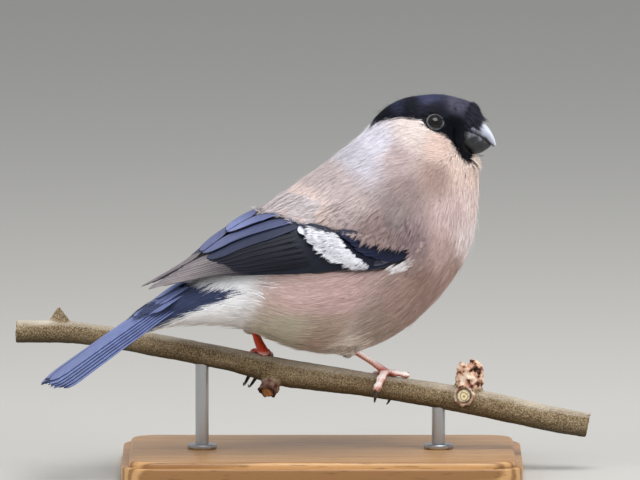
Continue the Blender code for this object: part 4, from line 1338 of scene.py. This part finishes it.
# Legs and feet: bone and sinew in scaly skin. Each shank comes out of the belly plumage to
# a pad, and four toes with swollen joints grip the branch, each ending in a hooked claw.
LEGS = {
    "right": ((7.5, -1.6, 37.3), (15.9, -0.5, 31.6)),
    "left": ((-20.9, 5.0, 43.0), (-19.2, 1.8, 38.5)),
}
TOES = {
    "right": (
        ((0.5, 4), (7.9, 4), (6.9, -70)),
        ((0.2, 20), (-1.6, 108), (-1.4, 160)),
        ((1.0, -25), (4.2, -112), (2.2, -168)),
        ((-0.3, -30), (-5.4, -86), (-6.6, -140)),
    ),
    "left": (
        ((-0.3, -26), (-0.7, -122), (-2.4, -186)),
        ((0.6, -22), (1.9, -118), (-0.6, -186)),
        ((0.9, -14), (4.7, -80), (5.0, -136)),
        ((-0.3, -16), (-4.2, -84), (-5.6, -140)),
    ),
}  # start and end of each toe, then the claw's tip: along the branch and degrees round it
PAD_X = {"right": 17.84, "left": -19.6}
SHANK_RADIUS = 0.92
SHANK_SHAPE = {
    "right": (1.2, 0.95, 1.15, 1.25, 1.85, 1.2),
    "left": (1.15, 1.25, 1.5, 1.75, 2.1, 1.2),
}  # its thickness as a share of that, down to the pad
TOE_RADII = (1.4, 1.1)
TOE_SQUEEZE = 0.7  # a toe's thickness over its width
CLAW_RADII = (0.72, 0.1)
CLAW_BOW = {"right": 0.6, "left": 1.5}  # how far a claw arches off the bark
TOE_GAP = 0.12
FOOT_VOXEL = 0.17
SCUTE = 0.8  # mm between the edges of the leg's scales
SKIN_BROWN = "#A86E5C"
SKIN_PINK = "#E0BDB6"
SKIN_PALE = "#F2E8E3"
SKIN_ORANGE = "#B0300E"
JOINT_RED = "#A8432F"


def branch_point(x, angle, out):
    """A point round the branch; angle is in degrees from its top towards the viewer."""
    table = np.array(BRANCH_STATIONS)
    place = np.interp(x, table[:, 0], np.arange(len(table)))
    _, z, radius = smooth_row(BRANCH_STATIONS, np.array([place]))[:, 0]
    ahead = smooth_row(BRANCH_STATIONS, np.array([place + 0.05]))[:, 0]
    behind = smooth_row(BRANCH_STATIONS, np.array([place - 0.05]))[:, 0]
    run = Vector((ahead[0] - behind[0], 0, ahead[1] - behind[1])).normalized()
    up = Vector((-run.z, 0, run.x))
    turn = math.radians(angle)
    spoke = up * math.cos(turn) + Vector((0, -1, 0)) * math.sin(turn)
    return Vector((x, 0, z)) + spoke * (radius + out)


def limb(name, path, radii, sides=20, squeeze=1.0):
    """A closed tube along a path, from points 0.2 mm or so apart, with rounded ends."""
    rings, reach = [], []
    side = None
    length = 0.0
    for i, point in enumerate(path):
        ahead = path[min(i + 1, len(path) - 1)] - path[max(i - 1, 0)]
        ahead.normalize()
        if side is None:
            guide = Vector((0, 0, 1)) if abs(ahead.z) < 0.8 else Vector((0, 1, 0))
            side = ahead.cross(guide).normalized()
        side = (side - ahead * side.dot(ahead)).normalized()
        over = ahead.cross(side)
        if i:
            length += (point - path[i - 1]).length
        ring = []
        for k in range(sides):
            angle = math.tau * k / sides
            spoke = side * math.cos(angle) + over * squeeze * math.sin(angle)
            ring.append(point + spoke * radii[i])
        rings.append(ring)
        reach += [length] * sides
    piece = loft(name, rings)
    give_attribute(piece, "reach", reach)
    bpy.context.view_layer.objects.active = piece
    return piece


def bowed_path(points, steps):
    """A smooth path through a few points."""
    table = [tuple(point) for point in points]
    places = np.linspace(0, len(table) - 1, steps)
    return [Vector(row) for row in smooth_row(table, places).T]


def path_length(path):
    return sum((b - a).length for a, b in zip(path, path[1:]))


def scaled(length, place):
    """Radius factor along a leg or toe: each scale's far edge stands up a little."""
    return 1.0 + 0.05 * (place * length / SCUTE % 1.0)


def joined(pieces):
    take(pieces[0])
    for piece in pieces:
        piece.select_set(True)
    bpy.ops.object.join()
    return pieces[0]


def leg_finish(name, blood_code):
    """Scaly leg skin: dry, paler where it faces up and browner where it faces down, as painted light and
    shade, and red where blood shows.
    """
    finish, shader = new_finish(name, Roughness=0.48)
    place = add_node(finish, "TexCoord", {})
    reach = add_node(finish, "Attribute", {}, attribute_name="reach")
    phase = add_node(finish, "Math", {0: (reach, "Fac"), 1: math.tau / SCUTE}, operation="MULTIPLY")
    bands = add_node(finish, "Math", {0: phase}, operation="SINE")
    grains = add_node(finish, "TexVoronoi", {"Vector": (place, "Object"), "Scale": 1 / (0.7 * MM)})
    blotches = add_node(
        finish, "TexNoise", {"Vector": (place, "Object"), "Scale": noise_scale(1.5), "Detail": 3.0}
    )
    banded = add_node(finish, "Math", {0: bands, 1: 0.06, 2: blotches}, operation="MULTIPLY_ADD")
    # painted light: upward faces are paler, downward ones browner
    upward_light = add_node(finish, "Attribute", {}, attribute_name="upward_light")
    lit_paleness = add_node(
        finish, "Math", {0: (upward_light, "Fac"), 1: 0.5, 2: banded}, operation="MULTIPLY_ADD"
    )
    lit_skin_tone = add_node(
        finish,
        "ValToRGB",
        {"Fac": lit_paleness},
        stops=((0.34, SKIN_BROWN), (0.55, SKIN_PINK), (0.8, SKIN_PALE)),
    )
    joint = add_node(finish, "Attribute", {}, attribute_name="joint")
    tone = add_node(
        finish, "MixRGB", {"Fac": (joint, "Fac"), "Color1": lit_skin_tone, "Color2": linear(blood_code)}
    )
    relief = add_node(
        finish, "Bump", {"Height": grains, "Strength": 0.5, "Distance": 0.12 * MM}, invert=True
    )
    set_inputs(shader, {"Base Color": tone, "Normal": relief})
    return finish


# Claw horn: hard, dark grey-brown and polished by use.
claw_horn, claw_shader = new_finish("claw horn", Roughness=0.25)
claw_place = add_node(claw_horn, "TexCoord", {})
claw_cloud = add_node(
    claw_horn, "TexNoise", {"Vector": (claw_place, "Object"), "Scale": noise_scale(0.6)}
)
claw_tone = add_node(
    claw_horn, "ValToRGB", {"Fac": claw_cloud}, stops=((0.3, "#241E1C"), (0.7, "#4A403C"))
)
set_inputs(claw_shader, {"Base Color": claw_tone})
leg_finishes = {
    "right": leg_finish("scaly leg skin, pink", JOINT_RED),
    "left": leg_finish("scaly leg skin, orange", SKIN_ORANGE),
}
for side_name, (leg_top, ankle) in LEGS.items():
    leg_top, ankle = Vector(leg_top), Vector(ankle)
    down = (ankle - leg_top).normalized()
    foot_x = PAD_X[side_name]
    pad = branch_point(foot_x, 0, 1.2)
    shank = bowed_path((leg_top, (leg_top + ankle) / 2, ankle, pad, pad - Vector((0, 0, 0.9))), 70)
    length = path_length(shank)
    thickness = np.interp(
        np.linspace(0, 1, 70), (0, 0.4, 0.62, 0.75, 0.88, 1), SHANK_SHAPE[side_name]
    )
    radii = [SHANK_RADIUS * t * scaled(length, i / 69) for i, t in enumerate(thickness)]
    limbs = [limb("shank", shank, radii)]
    claws = []
    for (x0, a0), (x1, a1), (x2, a2) in TOES[side_name]:
        steps = 46
        places = np.linspace(0, 1, steps)
        base_radii = between(*TOE_RADII, places)
        swell = 1.0 + 0.15 * np.cos(places * math.tau * 2.6) * (places > 0.1)
        ends = np.sqrt(np.clip(1 - np.clip((places - 0.93) / 0.07, 0, 1) ** 2, 0.05, 1))
        toe_path = []
        for place, radius in zip(places, base_radii):
            x = foot_x + x0 + (x1 - x0) * place
            lift = radius * TOE_SQUEEZE + TOE_GAP
            toe_path.append(branch_point(x, between(a0, a1, place), lift))
        length = path_length(toe_path)
        radii = [
            r * s * e * scaled(length, p) for r, s, e, p in zip(base_radii, swell, ends, places)
        ]
        limbs.append(limb("toe", toe_path, radii, 16, TOE_SQUEEZE))
        under = max(abs(a2) - 130, 0) / 40
        claw_path, radii = [], []
        for place in np.linspace(0, 1, 24):
            radius = between(*CLAW_RADII, place)
            x = foot_x + x1 + (x2 - x1) * place - (x1 - x0) * 0.1 * (1 - place)
            angle = between(a1, a2, place) - (a1 - a0) * 0.1 * (1 - place)
            lift = (CLAW_BOW[side_name] + 0.5 * under) * math.sin(math.pi * place)
            lift += 1.3 * under * place**1.5
            claw_path.append(branch_point(x, angle, radius + TOE_GAP + 0.15 + lift))
            radii.append(radius)
        claws.append(limb("claw", claw_path, radii, 14))
    foot = joined(limbs)
    even_out(foot, FOOT_VOXEL, 3)
    bpy.ops.object.shade_smooth()
    foot_points = mesh_points(foot)
    give_attribute(foot, "reach", foot_points @ np.array(down))
    # painted light from above, by how far the skin faces up
    give_attribute(foot, "upward_light", mesh_normals(foot)[:, 2])
    blood = np.exp(-((np.linalg.norm(foot_points - np.array(pad), axis=1) / 2.7) ** 2)) * 0.95
    if side_name == "left":
        blood = np.clip((foot_points[:, 2] - pad.z + 1.5) / 1.3, 0, 1)
    give_attribute(foot, "joint", blood)
    settle(foot, "leg_and_foot_" + side_name, leg_finishes[side_name])
    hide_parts("leg_" + side_name, "foot_" + side_name)
    claw_set = joined(claws)
    bpy.ops.object.shade_smooth_by_angle(angle=math.radians(50))
    settle(claw_set, "claws_" + side_name, claw_horn)

# Body plumage: small loose contour feathers that overlap like tiles, each a tuft of fine
# barbs. Their roots sit in the skin and they lie along it: 2 mm on the face, up to 9 mm on
# the flanks and back, where they also cover the front of the folded wings.
FEATHER_LIE = (
    (46.0, 109.0, 160, 2.0), (40.0, 111.5, 172, 2.4), (30.0, 111.5, 182, 2.8),
    (22.0, 108.5, 196, 3.4), (16.0, 103.0, 218, 4.0), (13.0, 98.0, 224, 5.0),
    (38.0, 106.5, 175, 2.0), (30.0, 106.0, 186, 2.6), (42.0, 102.5, 176, 1.9),
    (41.0, 99.0, 195, 2.0), (36.4, 97.1, 183, 2.9), (26.5, 96.7, 200, 3.8),
    (22.9, 94.4, 205, 4.4), (12.3, 91.1, 216, 6.0), (45.5, 93.0, 245, 2.2),
    (47.0, 88.0, 262, 3.6), (40.7, 91.0, 240, 3.4), (32.0, 89.0, 226, 4.6),
    (21.0, 86.8, 222, 5.6), (45.0, 80.0, 264, 5.4), (44.0, 71.0, 252, 6.4),
    (30.0, 77.6, 240, 6.2), (36.0, 72.0, 246, 6.4), (28.0, 71.0, 205, 7.0),
    (21.0, 61.5, 202, 7.6), (18.0, 57.5, 216, 7.4), (32.0, 65.0, 228, 7.0),
    (38.0, 62.0, 236, 7.0), (27.0, 55.0, 214, 7.4), (17.0, 50.0, 205, 7.8),
    (12.0, 44.0, 202, 8.0), (-2.6, 54.8, 191, 8.4), (-14.6, 58.0, 181, 8.4),
    (-18.6, 53.0, 154, 8.2), (-21.5, 47.0, 152, 8.0), (-6.0, 46.0, 188, 8.6),
    (3.8, 39.0, 202, 8.6), (-10.9, 40.4, 182, 8.4), (2.7, 81.2, 217, 7.6),
    (18.4, 78.0, 225, 7.0), (7.0, 74.0, 228, 7.8), (-3.8, 78.4, 214, 8.6),
    (-10.6, 81.0, 215, 8.4), (-7.0, 86.0, 215, 7.4), (4.4, 92.5, 217, 6.4),
    (-24.0, 72.0, 220, 8.0), (-34.0, 62.0, 212, 7.6), (-43.0, 57.0, 206, 7.2),
    (-30.0, 55.0, 190, 8.0), (-38.0, 50.0, 194, 8.4), (-30.0, 46.0, 184, 8.4),
    (-42.0, 46.5, 196, 8.8),
)  # x and z in the side view, the way the tips point in degrees and the length
# Tufts rooted in the open, over the skin's own ones: what they are, their outline in the side
# view, the distance between them, the way they point, their length, how far their tips stand
# off, and their colour where it isn't the plumage's.
EDGE_TUFTS = (
    (
        "nasal bristles",
        (
            (43.6, 104.4), (45.0, 109.8), (47.6, 108.8), (48.8, 107.0), (47.2, 105.0),
            (45.4, 102.9), (43.8, 101.8),
        ),
        0.36, 318, 4.2, 1.3, None,
    ),
    (
        "bristles at the corner of the bill",
        ((41.0, 103.8), (45.4, 103.8), (45.4, 102.2), (42.8, 99.6), (41.0, 99.6)),
        0.42, 302, 3.0, 1.1, None,
    ),
    (
        "chin bristles",
        ((45.8, 94.6), (48.8, 94.2), (49.0, 91.4), (46.2, 91.2)),
        1.0, 326, 3.2, 1.7, "#E6D2C6",
    ),
    (
        "scapulars over the wing",
        (
            (-4.0, 77.2), (-1.6, 74.6), (1.6, 72.8), (7.0, 71.2), (13.6, 70.9), (20.0, 70.5),
            (25.5, 70.4), (26.0, 75.0), (16.0, 79.0), (7.0, 82.0), (-0.7, 83.0), (-6.0, 80.0),
        ),
        0.58, 226, 4.8, 2.0, None,
    ),
    (
        "scapulars over the tertials",
        (
            (-20.5, 80.6), (-17.5, 78.2), (-13.6, 76.4), (-5.0, 77.6), (-0.7, 80.0),
            (-7.3, 84.0), (-13.6, 85.3), (-19.5, 84.0),
        ),
        0.55, 208, 4.6, 0.9, "#CBC1C2",
    ),
    (
        "breast over the wing's bend",
        ((24.0, 71.0), (22.4, 67.6), (21.4, 64.6), (22.4, 61.4), (29.0, 60.0), (32.0, 70.0)),
        0.5, 198, 5.4, 0.5, None,
    ),
    (
        "pale rays over the bend",
        ((19.5, 70.5), (22.0, 73.5), (27.0, 70.0), (27.0, 63.0), (22.5, 63.0), (20.5, 66.5)),
        1.9, 203, 4.4, 0.6, "#D2BCB1",
    ),
    (
        "white bar",
        (
            (-10.4, 76.3), (-3.4, 74.6), (-2.4, 72.2), (-0.8, 69.2), (2.4, 66.3), (6.4, 63.8),
            (2.4, 63.9), (-3.8, 66.2), (-8.0, 69.8), (-10.9, 73.4),
        ),
        0.5, 197, 3.5, 0.8, "#E8E8F0",
    ),
    (
        "white edge of the bend",
        (
            (14.5, 63.6), (17.5, 64.0), (20.4, 65.2), (22.6, 67.4), (23.4, 65.6), (20.4, 62.8),
            (16.4, 62.4),
        ),
        0.6, 202, 4.4, 0.6, "#F2ECEE",
    ),
    (
        "wisps under the belly",
        ((-28.0, 45.0), (-28.0, 38.0), (-10.0, 34.0), (3.0, 32.0), (5.0, 36.5), (-10.0, 38.6)),
        2.2, 203, 6.0, 1.0, None,
    ),
    (
        "wisps at the leg",
        ((1.0, 38.8), (1.0, 32.0), (9.5, 32.0), (10.5, 38.5)),
        0.9, 246, 3.2, 0.8, "#CFC6BE",
    ),
)
WING_COVERED = (
    (-22.0, 69.0), (-14.0, 74.5), (-4.0, 73.0), (6.0, 69.4), (16.0, 68.4), (16.0, 66.0),
    (6.0, 64.6), (-6.0, 64.0), (-22.0, 64.0),
)  # the skin bears no feathers here
FOREHEAD_FILL = ((45.4, 109.8, 2.4, 0.8), (48.6, 107.6, 2.0, 1.3))  # x, z, reach and height
COAT_SEED = 5
TUFT_SPACING = (0.30, 0.062)  # distance between roots: least, and share of the length added
TUFT_STRETCH = (1.2, 1.5)  # a tuft's length over the one in the table above
ROOT_NEAR = 0.9  # tufts grow where the outline lies less than this over the skin's depth
TIP_NEAR = 1.2  # and where their tips do so by this
BILL_NEAR = 3.0  # a root this near to the bill can lie inside it
BILL_CLEAR = (0.3, 0.4)  # bare strip round the upper and the lower half of the bill
EYE_CLEAR = 0.65
COAT_TRIES = (330000, 260000)  # random places on the skin and on the open outline
COAT_SINK = 0.35  # the coat's surface lies this far inside the solids
COAT_LIFT = (-0.4, 0.12, 0.36)  # height of a barb's root, middle and tip over that
WING_OVERLAP = 0.5  # how much higher they lie where they cross the folded wing
BARBS = 9
BARB_PLACES = (0.0, 0.48, 1.0)  # root, widest place and tip, as shares of its length
LOOSE_SHARE = 0.05  # of the barbs stand up a little from the rest
GRAIN = {"cap": 0.42}  # how much one barb's tone differs from the next
PLAIN_GRAIN = 0.15
ENVELOPE_NODES = (*SKIN_NODES, "wing_left", "wing_right", "tail", "bill_upper", "bill_lower")
ENVELOPE_VOXEL = 0.8
PATCH = 0.003  # width of a tuft's place in the OFBake map


def lie_and_length(x, z):
    weights = place_weights(x, z, FEATHER_LIE, 4.0)
    angles = np.radians([row[2] for row in FEATHER_LIE])
    level = weights @ np.cos(angles)
    upright = weights @ np.sin(angles)
    long = weights @ np.array([row[3] for row in FEATHER_LIE])
    return level, upright, long


def scattered(piece, count, chance):
    """Random points on a mesh, even over its area, with the way each faces."""
    piece.data.calc_loop_triangles()
    corners = np.empty(len(piece.data.loop_triangles) * 3, dtype=np.int32)
    piece.data.loop_triangles.foreach_get("vertices", corners)
    corners = mesh_points(piece)[corners.reshape(-1, 3)]
    crossed = np.cross(corners[:, 1] - corners[:, 0], corners[:, 2] - corners[:, 0])
    areas = np.linalg.norm(crossed, axis=1)
    chosen = chance.choice(len(areas), count, p=areas / areas.sum())
    a = chance.random(count)
    b = chance.random(count)
    flip = a + b > 1
    a[flip], b[flip] = 1 - a[flip], 1 - b[flip]
    corner = corners[chosen]
    points = corner[:, 0] + (corner[:, 1] - corner[:, 0]) * a[:, None]
    return points + (corner[:, 2] - corner[:, 0]) * b[:, None]


def spaced_out(points, spacing):
    """Keeps points so that no two are nearer than their spacing, in the order given."""
    tree = KDTree(len(points))
    for i, point in enumerate(points):
        tree.insert(point, i)
    tree.balance()
    free = np.ones(len(points), dtype=bool)
    kept = []
    for i, point in enumerate(points):
        if free[i]:
            kept.append(i)
            for _, other, _ in tree.find_range(point, spacing[i]):
                free[other] = False
    return np.array(kept)


def tree_of(piece):
    corners = [list(polygon.vertices) for polygon in piece.data.polygons]
    return BVHTree.FromPolygons([Vector(point) for point in mesh_points(piece)], corners)


def on_surface(tree, points):
    """Nearest points of a surface and the way it faces there."""
    found = [tree.find_nearest(Vector(point)) for point in points]
    return np.array([row[0] for row in found]), np.array([row[1] for row in found])


def unit(vectors):
    return vectors / np.maximum(np.linalg.norm(vectors, axis=1, keepdims=True), 1e-9)


def along_surface(directions, normals):
    return unit(directions - normals * np.sum(directions * normals, axis=1, keepdims=True))


def lie_directions(points, normals, lie=None):
    """The way the feathers lie at each point, along the surface, and their length."""
    x, _, z, turn = own_frame(points)
    level, upright, long = lie_and_length(x, z)
    if lie is not None:
        level, upright = x * 0 + math.cos(math.radians(lie)), x * 0 + math.sin(math.radians(lie))
    angle = turn + BODY_YAW
    world = np.stack((level * np.cos(angle), level * np.sin(angle), upright), axis=1)
    return along_surface(world, normals), long


def laid_out(roots, normals, long, lie=None):
    """Three places along each tuft on the outline, with the ways that it faces and runs there."""
    path, faces = [roots], [normals]
    way, _ = lie_directions(roots, normals, lie)
    ways = [way]
    for _ in range(2):
        ahead = path[-1] + way * (long / 2)[:, None] + faces[-1] * 0.6
        points, normals = on_surface(envelope_tree, ahead)
        path.append(points)
        faces.append(normals)
        turned, _ = lie_directions(points, normals, lie)
        way = along_surface(turned + ways[-1], normals)
        ways.append(way)
    return np.array((path, faces, ways))


def off_skin(points):
    """How far points lie from the skin."""
    skin_points, _ = on_surface(skin_tree, points)
    return np.linalg.norm(skin_points - points, axis=1)


envelope = frame_copy("envelope", *ENVELOPE_NODES)
even_out(envelope, ENVELOPE_VOXEL, 6)
move_points(envelope, slimmed(mesh_points(envelope)))
envelope_tree = tree_of(envelope)
skin_tree = tree_of(skin)
bill_tree = tree_of(upper_bill)
lower_tree = tree_of(lower_bill)
eye_centres = [sum(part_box("eye_" + side_name), Vector()) / 2 / MM for side_name in SIDES]

coat_chance = np.random.default_rng(COAT_SEED)
tuft_roots = scattered(skin, COAT_TRIES[0], coat_chance)
tuft_x, _, tuft_z, _ = own_frame(tuft_roots)
_, _, tuft_long = lie_and_length(tuft_x, tuft_z)
tuft_roots = tuft_roots[spaced_out(tuft_roots, TUFT_SPACING[0] + TUFT_SPACING[1] * tuft_long)]
surface_points, surface_normals = on_surface(envelope_tree, tuft_roots)
shown = np.linalg.norm(surface_points - tuft_roots, axis=1) < SKIN_DEPTH + ROOT_NEAR
tuft_x, _, tuft_z, _ = own_frame(tuft_roots)
shown &= depth_inside(tuft_x, tuft_z, WING_COVERED) < 0
for tree, clear in zip((bill_tree, lower_tree), BILL_CLEAR):
    bare_points, bare_normals = on_surface(tree, surface_points)
    from_bare = surface_points - bare_points
    apart = np.linalg.norm(from_bare, axis=1)
    within = (np.sum(from_bare * bare_normals, axis=1) < 0) & (apart < BILL_NEAR)
    shown &= (apart > clear) & ~within
for eye_centre in eye_centres:
    shown &= np.linalg.norm(surface_points - np.array(eye_centre), axis=1) > LID_REACH + EYE_CLEAR
tuft_roots = surface_points[shown]
_, tuft_long = lie_directions(tuft_roots, surface_normals[shown])
tuft_long = tuft_long * coat_chance.uniform(*TUFT_STRETCH, len(tuft_long))
tuft_lines = laid_out(tuft_roots, surface_normals[shown], tuft_long)
bare = off_skin(tuft_lines[0, 2]) < SKIN_DEPTH + TIP_NEAR
tuft_lines = tuft_lines[:, :, bare]
tuft_long = tuft_long[bare]
tuft_tip_lift = np.zeros(len(tuft_long))
tuft_paint = np.full((len(tuft_long), 3), -1.0)
scattered_roots = scattered(envelope, COAT_TRIES[1], coat_chance)
root_x, _, root_z, _ = own_frame(scattered_roots)
for name, outline, spacing, lie, long, tip_lift, colour in EDGE_TUFTS:
    roots = scattered_roots[depth_inside(root_x, root_z, outline) > 0]
    roots = roots[spaced_out(roots, np.full(len(roots), spacing))]
    roots, normals = on_surface(envelope_tree, roots)
    own_long = long * coat_chance.uniform(0.75, 1.25, len(roots))
    own_lines = laid_out(roots, normals, own_long, lie)
    tuft_lines = np.concatenate((tuft_lines, own_lines), axis=2)
    tuft_long = np.concatenate((tuft_long, own_long))
    lifts = tip_lift * coat_chance.uniform(0.4, 1.0, len(roots))
    tuft_tip_lift = np.concatenate((tuft_tip_lift, lifts))
    paint = (-1.0, -1.0, -1.0) if colour is None else colour_of(colour)
    tuft_paint = np.concatenate((tuft_paint, np.tile(paint, (len(roots), 1))))
tuft_path = tuft_lines[0]
tuft_roots = tuft_path[0]
tuft_extra = []
for row in range(3):
    over_wing = off_skin(tuft_path[row])
    x, _, z, _ = own_frame(tuft_path[row])
    filled = 0
    for fill_x, fill_z, reach, height in FOREHEAD_FILL:
        apart = ((x - fill_x) / reach) ** 2 + ((z - fill_z) / reach) ** 2
        filled = filled + height * np.exp(-apart)
    crossing = np.clip(over_wing - SKIN_DEPTH - 0.2, 0, 1) * WING_OVERLAP
    tuft_extra.append(crossing + filled + tuft_tip_lift * (0.4 + row * 0.3))
bpy.data.objects.remove(envelope)


def coat_mesh(name, chosen, finish, grain):
    """Builds the barbs of the chosen tufts as one mesh of small closed spindles."""
    count = len(chosen) * BARBS
    tuft = np.repeat(chosen, BARBS)
    fan = np.tile(np.linspace(-1, 1, BARBS), len(chosen))
    fan = fan + coat_chance.uniform(-0.12, 0.12, count)
    long = tuft_long[tuft]
    reach = (1.0 - 0.28 * fan**2) * coat_chance.uniform(0.86, 1.1, count)
    half_width = (0.06 + 0.008 * long) * coat_chance.uniform(0.8, 1.2, count)
    spread = (0.06, 0.055 * long + 0.12, 0.075 * long + 0.15)
    rise = coat_chance.uniform(-0.08, 0.1, count)
    loose = coat_chance.random(count) < LOOSE_SHARE
    rise = rise + np.where(loose, coat_chance.exponential(0.3, count), 0)
    marks = []
    for step, share in enumerate(BARB_PLACES):
        s = share * reach
        before, middle, after = (1 - s) * (1 - 2 * s), 4 * s * (1 - s), s * (2 * s - 1)
        point, face, way = (
            sum(rows[i][tuft] * weight[:, None] for i, weight in enumerate((before, middle, after)))
            for rows in tuft_lines
        )
        face = unit(face)
        across = unit(np.cross(face, way))
        bow = fan * spread[step] + coat_chance.uniform(-0.05, 0.05, count) * (1 + step)
        lift = COAT_LIFT[step] - COAT_SINK + rise * (0.1 + 0.45 * step) + tuft_extra[step][tuft]
        marks.append((point + across * bow[:, None] + face * lift[:, None], across, face))
    root, section, tip = marks
    edge = section[1] * half_width[:, None]
    ridge = section[2] * (half_width * 0.35)[:, None]
    points = np.stack((root[0], section[0] - edge, section[0] + ridge, section[0] + edge, tip[0]), axis=1)
    corners = np.array(((0, 1, 2), (0, 2, 3), (0, 3, 1), (4, 2, 1), (4, 3, 2), (4, 1, 3)))
    triangles = (np.arange(count)[:, None, None] * 5 + corners[None]).reshape(-1, 3)
    piece = mesh_of(name, points.reshape(-1, 3), triangles)
    leaning = [face for _, _, face in marks]
    sideways = section[1] * 0.8
    normals = np.stack(
        (leaning[0], leaning[1] - sideways, leaning[1], leaning[1] + sideways, leaning[2]), axis=1
    ).reshape(-1, 3)
    piece.data.normals_split_custom_set_from_vertices(unit(normals))

    seen = root[0] * 0.25 + tip[0] * 0.75
    x, _, z, _ = own_frame(seen)
    colour = plumage_colour(x, z, coat_chance.normal(0, 0.6, count))
    paint = tuft_paint[tuft]
    colour = np.where(paint >= 0, paint, colour)
    tone = np.repeat(coat_chance.uniform(0.97, 1.03, len(chosen)), BARBS)
    tone = tone * coat_chance.uniform(1 - grain, 1 + grain, count)
    # each barb is darker at its root, partly the greyer base of the feather and partly painted shade
    # between the tufts, and a little lighter at its tip
    shades = np.array((0.75, 0.98, 1.0, 0.98, 1.06))
    colours = colour[:, None, :] * tone[:, None, None] * shades[None, :, None]
    give_colour(piece, "plumage", np.clip(colours, 0, 1).reshape(-1, 3))

    x, side, z, _ = own_frame(tuft_path[0][chosen])
    around = np.arctan2(side, z - 48.0 - (x + 50.0) * 0.42) / math.tau + 0.5
    along = (x + 55.0 + (z - 45.0) * 0.35) / 135.0
    place = np.stack((around, along), axis=1) * (1 - 3 * PATCH) + PATCH
    place = np.repeat(place, BARBS, axis=0)[:, None, :].repeat(5, axis=1)
    slot_width = PATCH / BARBS
    shift = np.array(((0, -0.5), (-0.45, 0), (0, 0), (0.45, 0), (0, 0.5)))
    place[:, :, 0] += (np.tile(np.arange(BARBS), len(chosen)) - BARBS / 2)[:, None] * slot_width
    place[:, :, 0] += shift[:, 0] * slot_width
    place[:, :, 1] += shift[:, 1] * PATCH
    give_map(piece, place.reshape(-1, 2)[triangles.ravel()])
    settle(piece, name, finish)
    return piece


# Plumage: soft matt barbs without gloss, whose thin edges catch the light, so that the
# body's outline looks a little brighter than its middle.
soft_plumage, coat_shader = new_finish(
    "soft plumage",
    Roughness=0.85,
    Specular_IOR_Level=0.25,
    Sheen_Weight=0.25,
    Sheen_Roughness=0.4,
    Sheen_Tint=linear("#FFF6F0"),
)
# Cap feathers are stiffer and have a faint blue gloss.
glossy_cap, cap_shader = new_finish(
    "glossy cap feathers",
    Roughness=0.45,
    Specular_IOR_Level=0.22,
    Specular_Tint=linear("#BCC3E2"),
    Sheen_Weight=0.03,
    Sheen_Tint=linear("#A9B4E8"),
)
for finish, shader in ((soft_plumage, coat_shader), (glossy_cap, cap_shader)):
    barb_colour = add_node(finish, "Attribute", {}, attribute_name="plumage")
    set_inputs(shader, {"Base Color": barb_colour})

tuft_x, tuft_side, tuft_z, _ = own_frame(tuft_roots)
is_cap = depth_inside(tuft_x, tuft_z, CAP_OUTLINE) > 0.3
is_rear = tuft_x < -22
is_head = (tuft_x * 0.58 + tuft_z * 0.82 > 96.0) & ~is_cap
is_breast = (tuft_x > 17) & ~is_cap & ~is_head
is_back = (tuft_z > 62 + np.maximum(tuft_x, 0) * 0.3) & ~is_rear & ~is_cap & ~is_head & ~is_breast
is_belly = ~(is_cap | is_rear | is_head | is_breast | is_back)
on_left = tuft_side > 0
for region, wanted, slot_name in (
    ("cap", is_cap, "head_plumage"),
    ("cheek", is_head, "body_plumage"),
    ("breast", is_breast, "body_plumage"),
    ("back", is_back, "body_plumage"),
    ("belly", is_belly, "body_plumage"),
    ("rump", is_rear, "body_plumage"),
):
    for side_name, on_side in (("left", on_left), ("right", ~on_left)):
        chosen = np.flatnonzero(wanted & on_side)
        finish = glossy_cap if region == "cap" else soft_plumage
        grain = GRAIN.get(region, PLAIN_GRAIN)
        coat = coat_mesh(f"coat_{region}_{side_name}", chosen, finish, grain)

# Floor and light: a plain pale sheet, a large soft light above and two low ones, in front of
# the bird and at its left, and a pale sky. Only the light above shows as a reflection, so
# that the eye has one spark. None of it is part of the object.
FLOOR_COLOUR = "#B2B0AB"
CAMERA_TARGET = (-0.0006, 0.0, 0.069)
CAMERA_DISTANCE = 4.0
CAMERA_RISE = math.radians(6.0)
VIEW_WIDTH = 0.192  # metres across the photograph at the bird

deselect()
bpy.ops.mesh.primitive_plane_add(size=40.0, location=(0, 12.0, -0.0002))
floor = bpy.context.object
floor.name = "floor"
plain_sheet, _ = new_finish("matt paper", Base_Color=linear(FLOOR_COLOUR), Roughness=0.9)
floor.data.materials.append(plain_sheet)

for lamp_name, place, size, power in (
    ("light above", (0.15, -0.2, 1.0), 0.8, 10.0),
    ("light in front", (1.1, -0.6, 0.5), 0.7, 8.5),
    ("light at the left", (-0.85, -0.5, 0.3), 0.8, 7.5),
):
    deselect()
    bpy.ops.object.light_add(type="AREA", location=place)
    lamp = bpy.context.object
    lamp.name = lamp_name
    lamp.data.size = size
    lamp.data.energy = power
    lamp.visible_glossy = lamp_name == "light above"
    aim = Vector(CAMERA_TARGET) - Vector(place)
    lamp.rotation_mode = "QUATERNION"
    lamp.rotation_quaternion = aim.to_track_quat("-Z", "Y")

sky = bpy.data.worlds.new("pale sky")
sky.use_nodes = True
sky.node_tree.nodes["Background"].inputs["Color"].default_value = linear("#EEF1F6")
sky.node_tree.nodes["Background"].inputs["Strength"].default_value = 0.55
bpy.context.scene.world = sky
bpy.context.scene.view_settings.view_transform = "Standard"

deselect()
back = Vector((0, -math.cos(CAMERA_RISE), math.sin(CAMERA_RISE)))
bpy.ops.object.camera_add(location=Vector(CAMERA_TARGET) + back * CAMERA_DISTANCE)
camera = bpy.context.object
camera.rotation_mode = "QUATERNION"
camera.rotation_quaternion = (-back).to_track_quat("-Z", "Y")
camera.data.sensor_width = 36.0
camera.data.lens = 36.0 * CAMERA_DISTANCE / VIEW_WIDTH
camera.data.clip_end = 100.0
bpy.context.scene.camera = camera
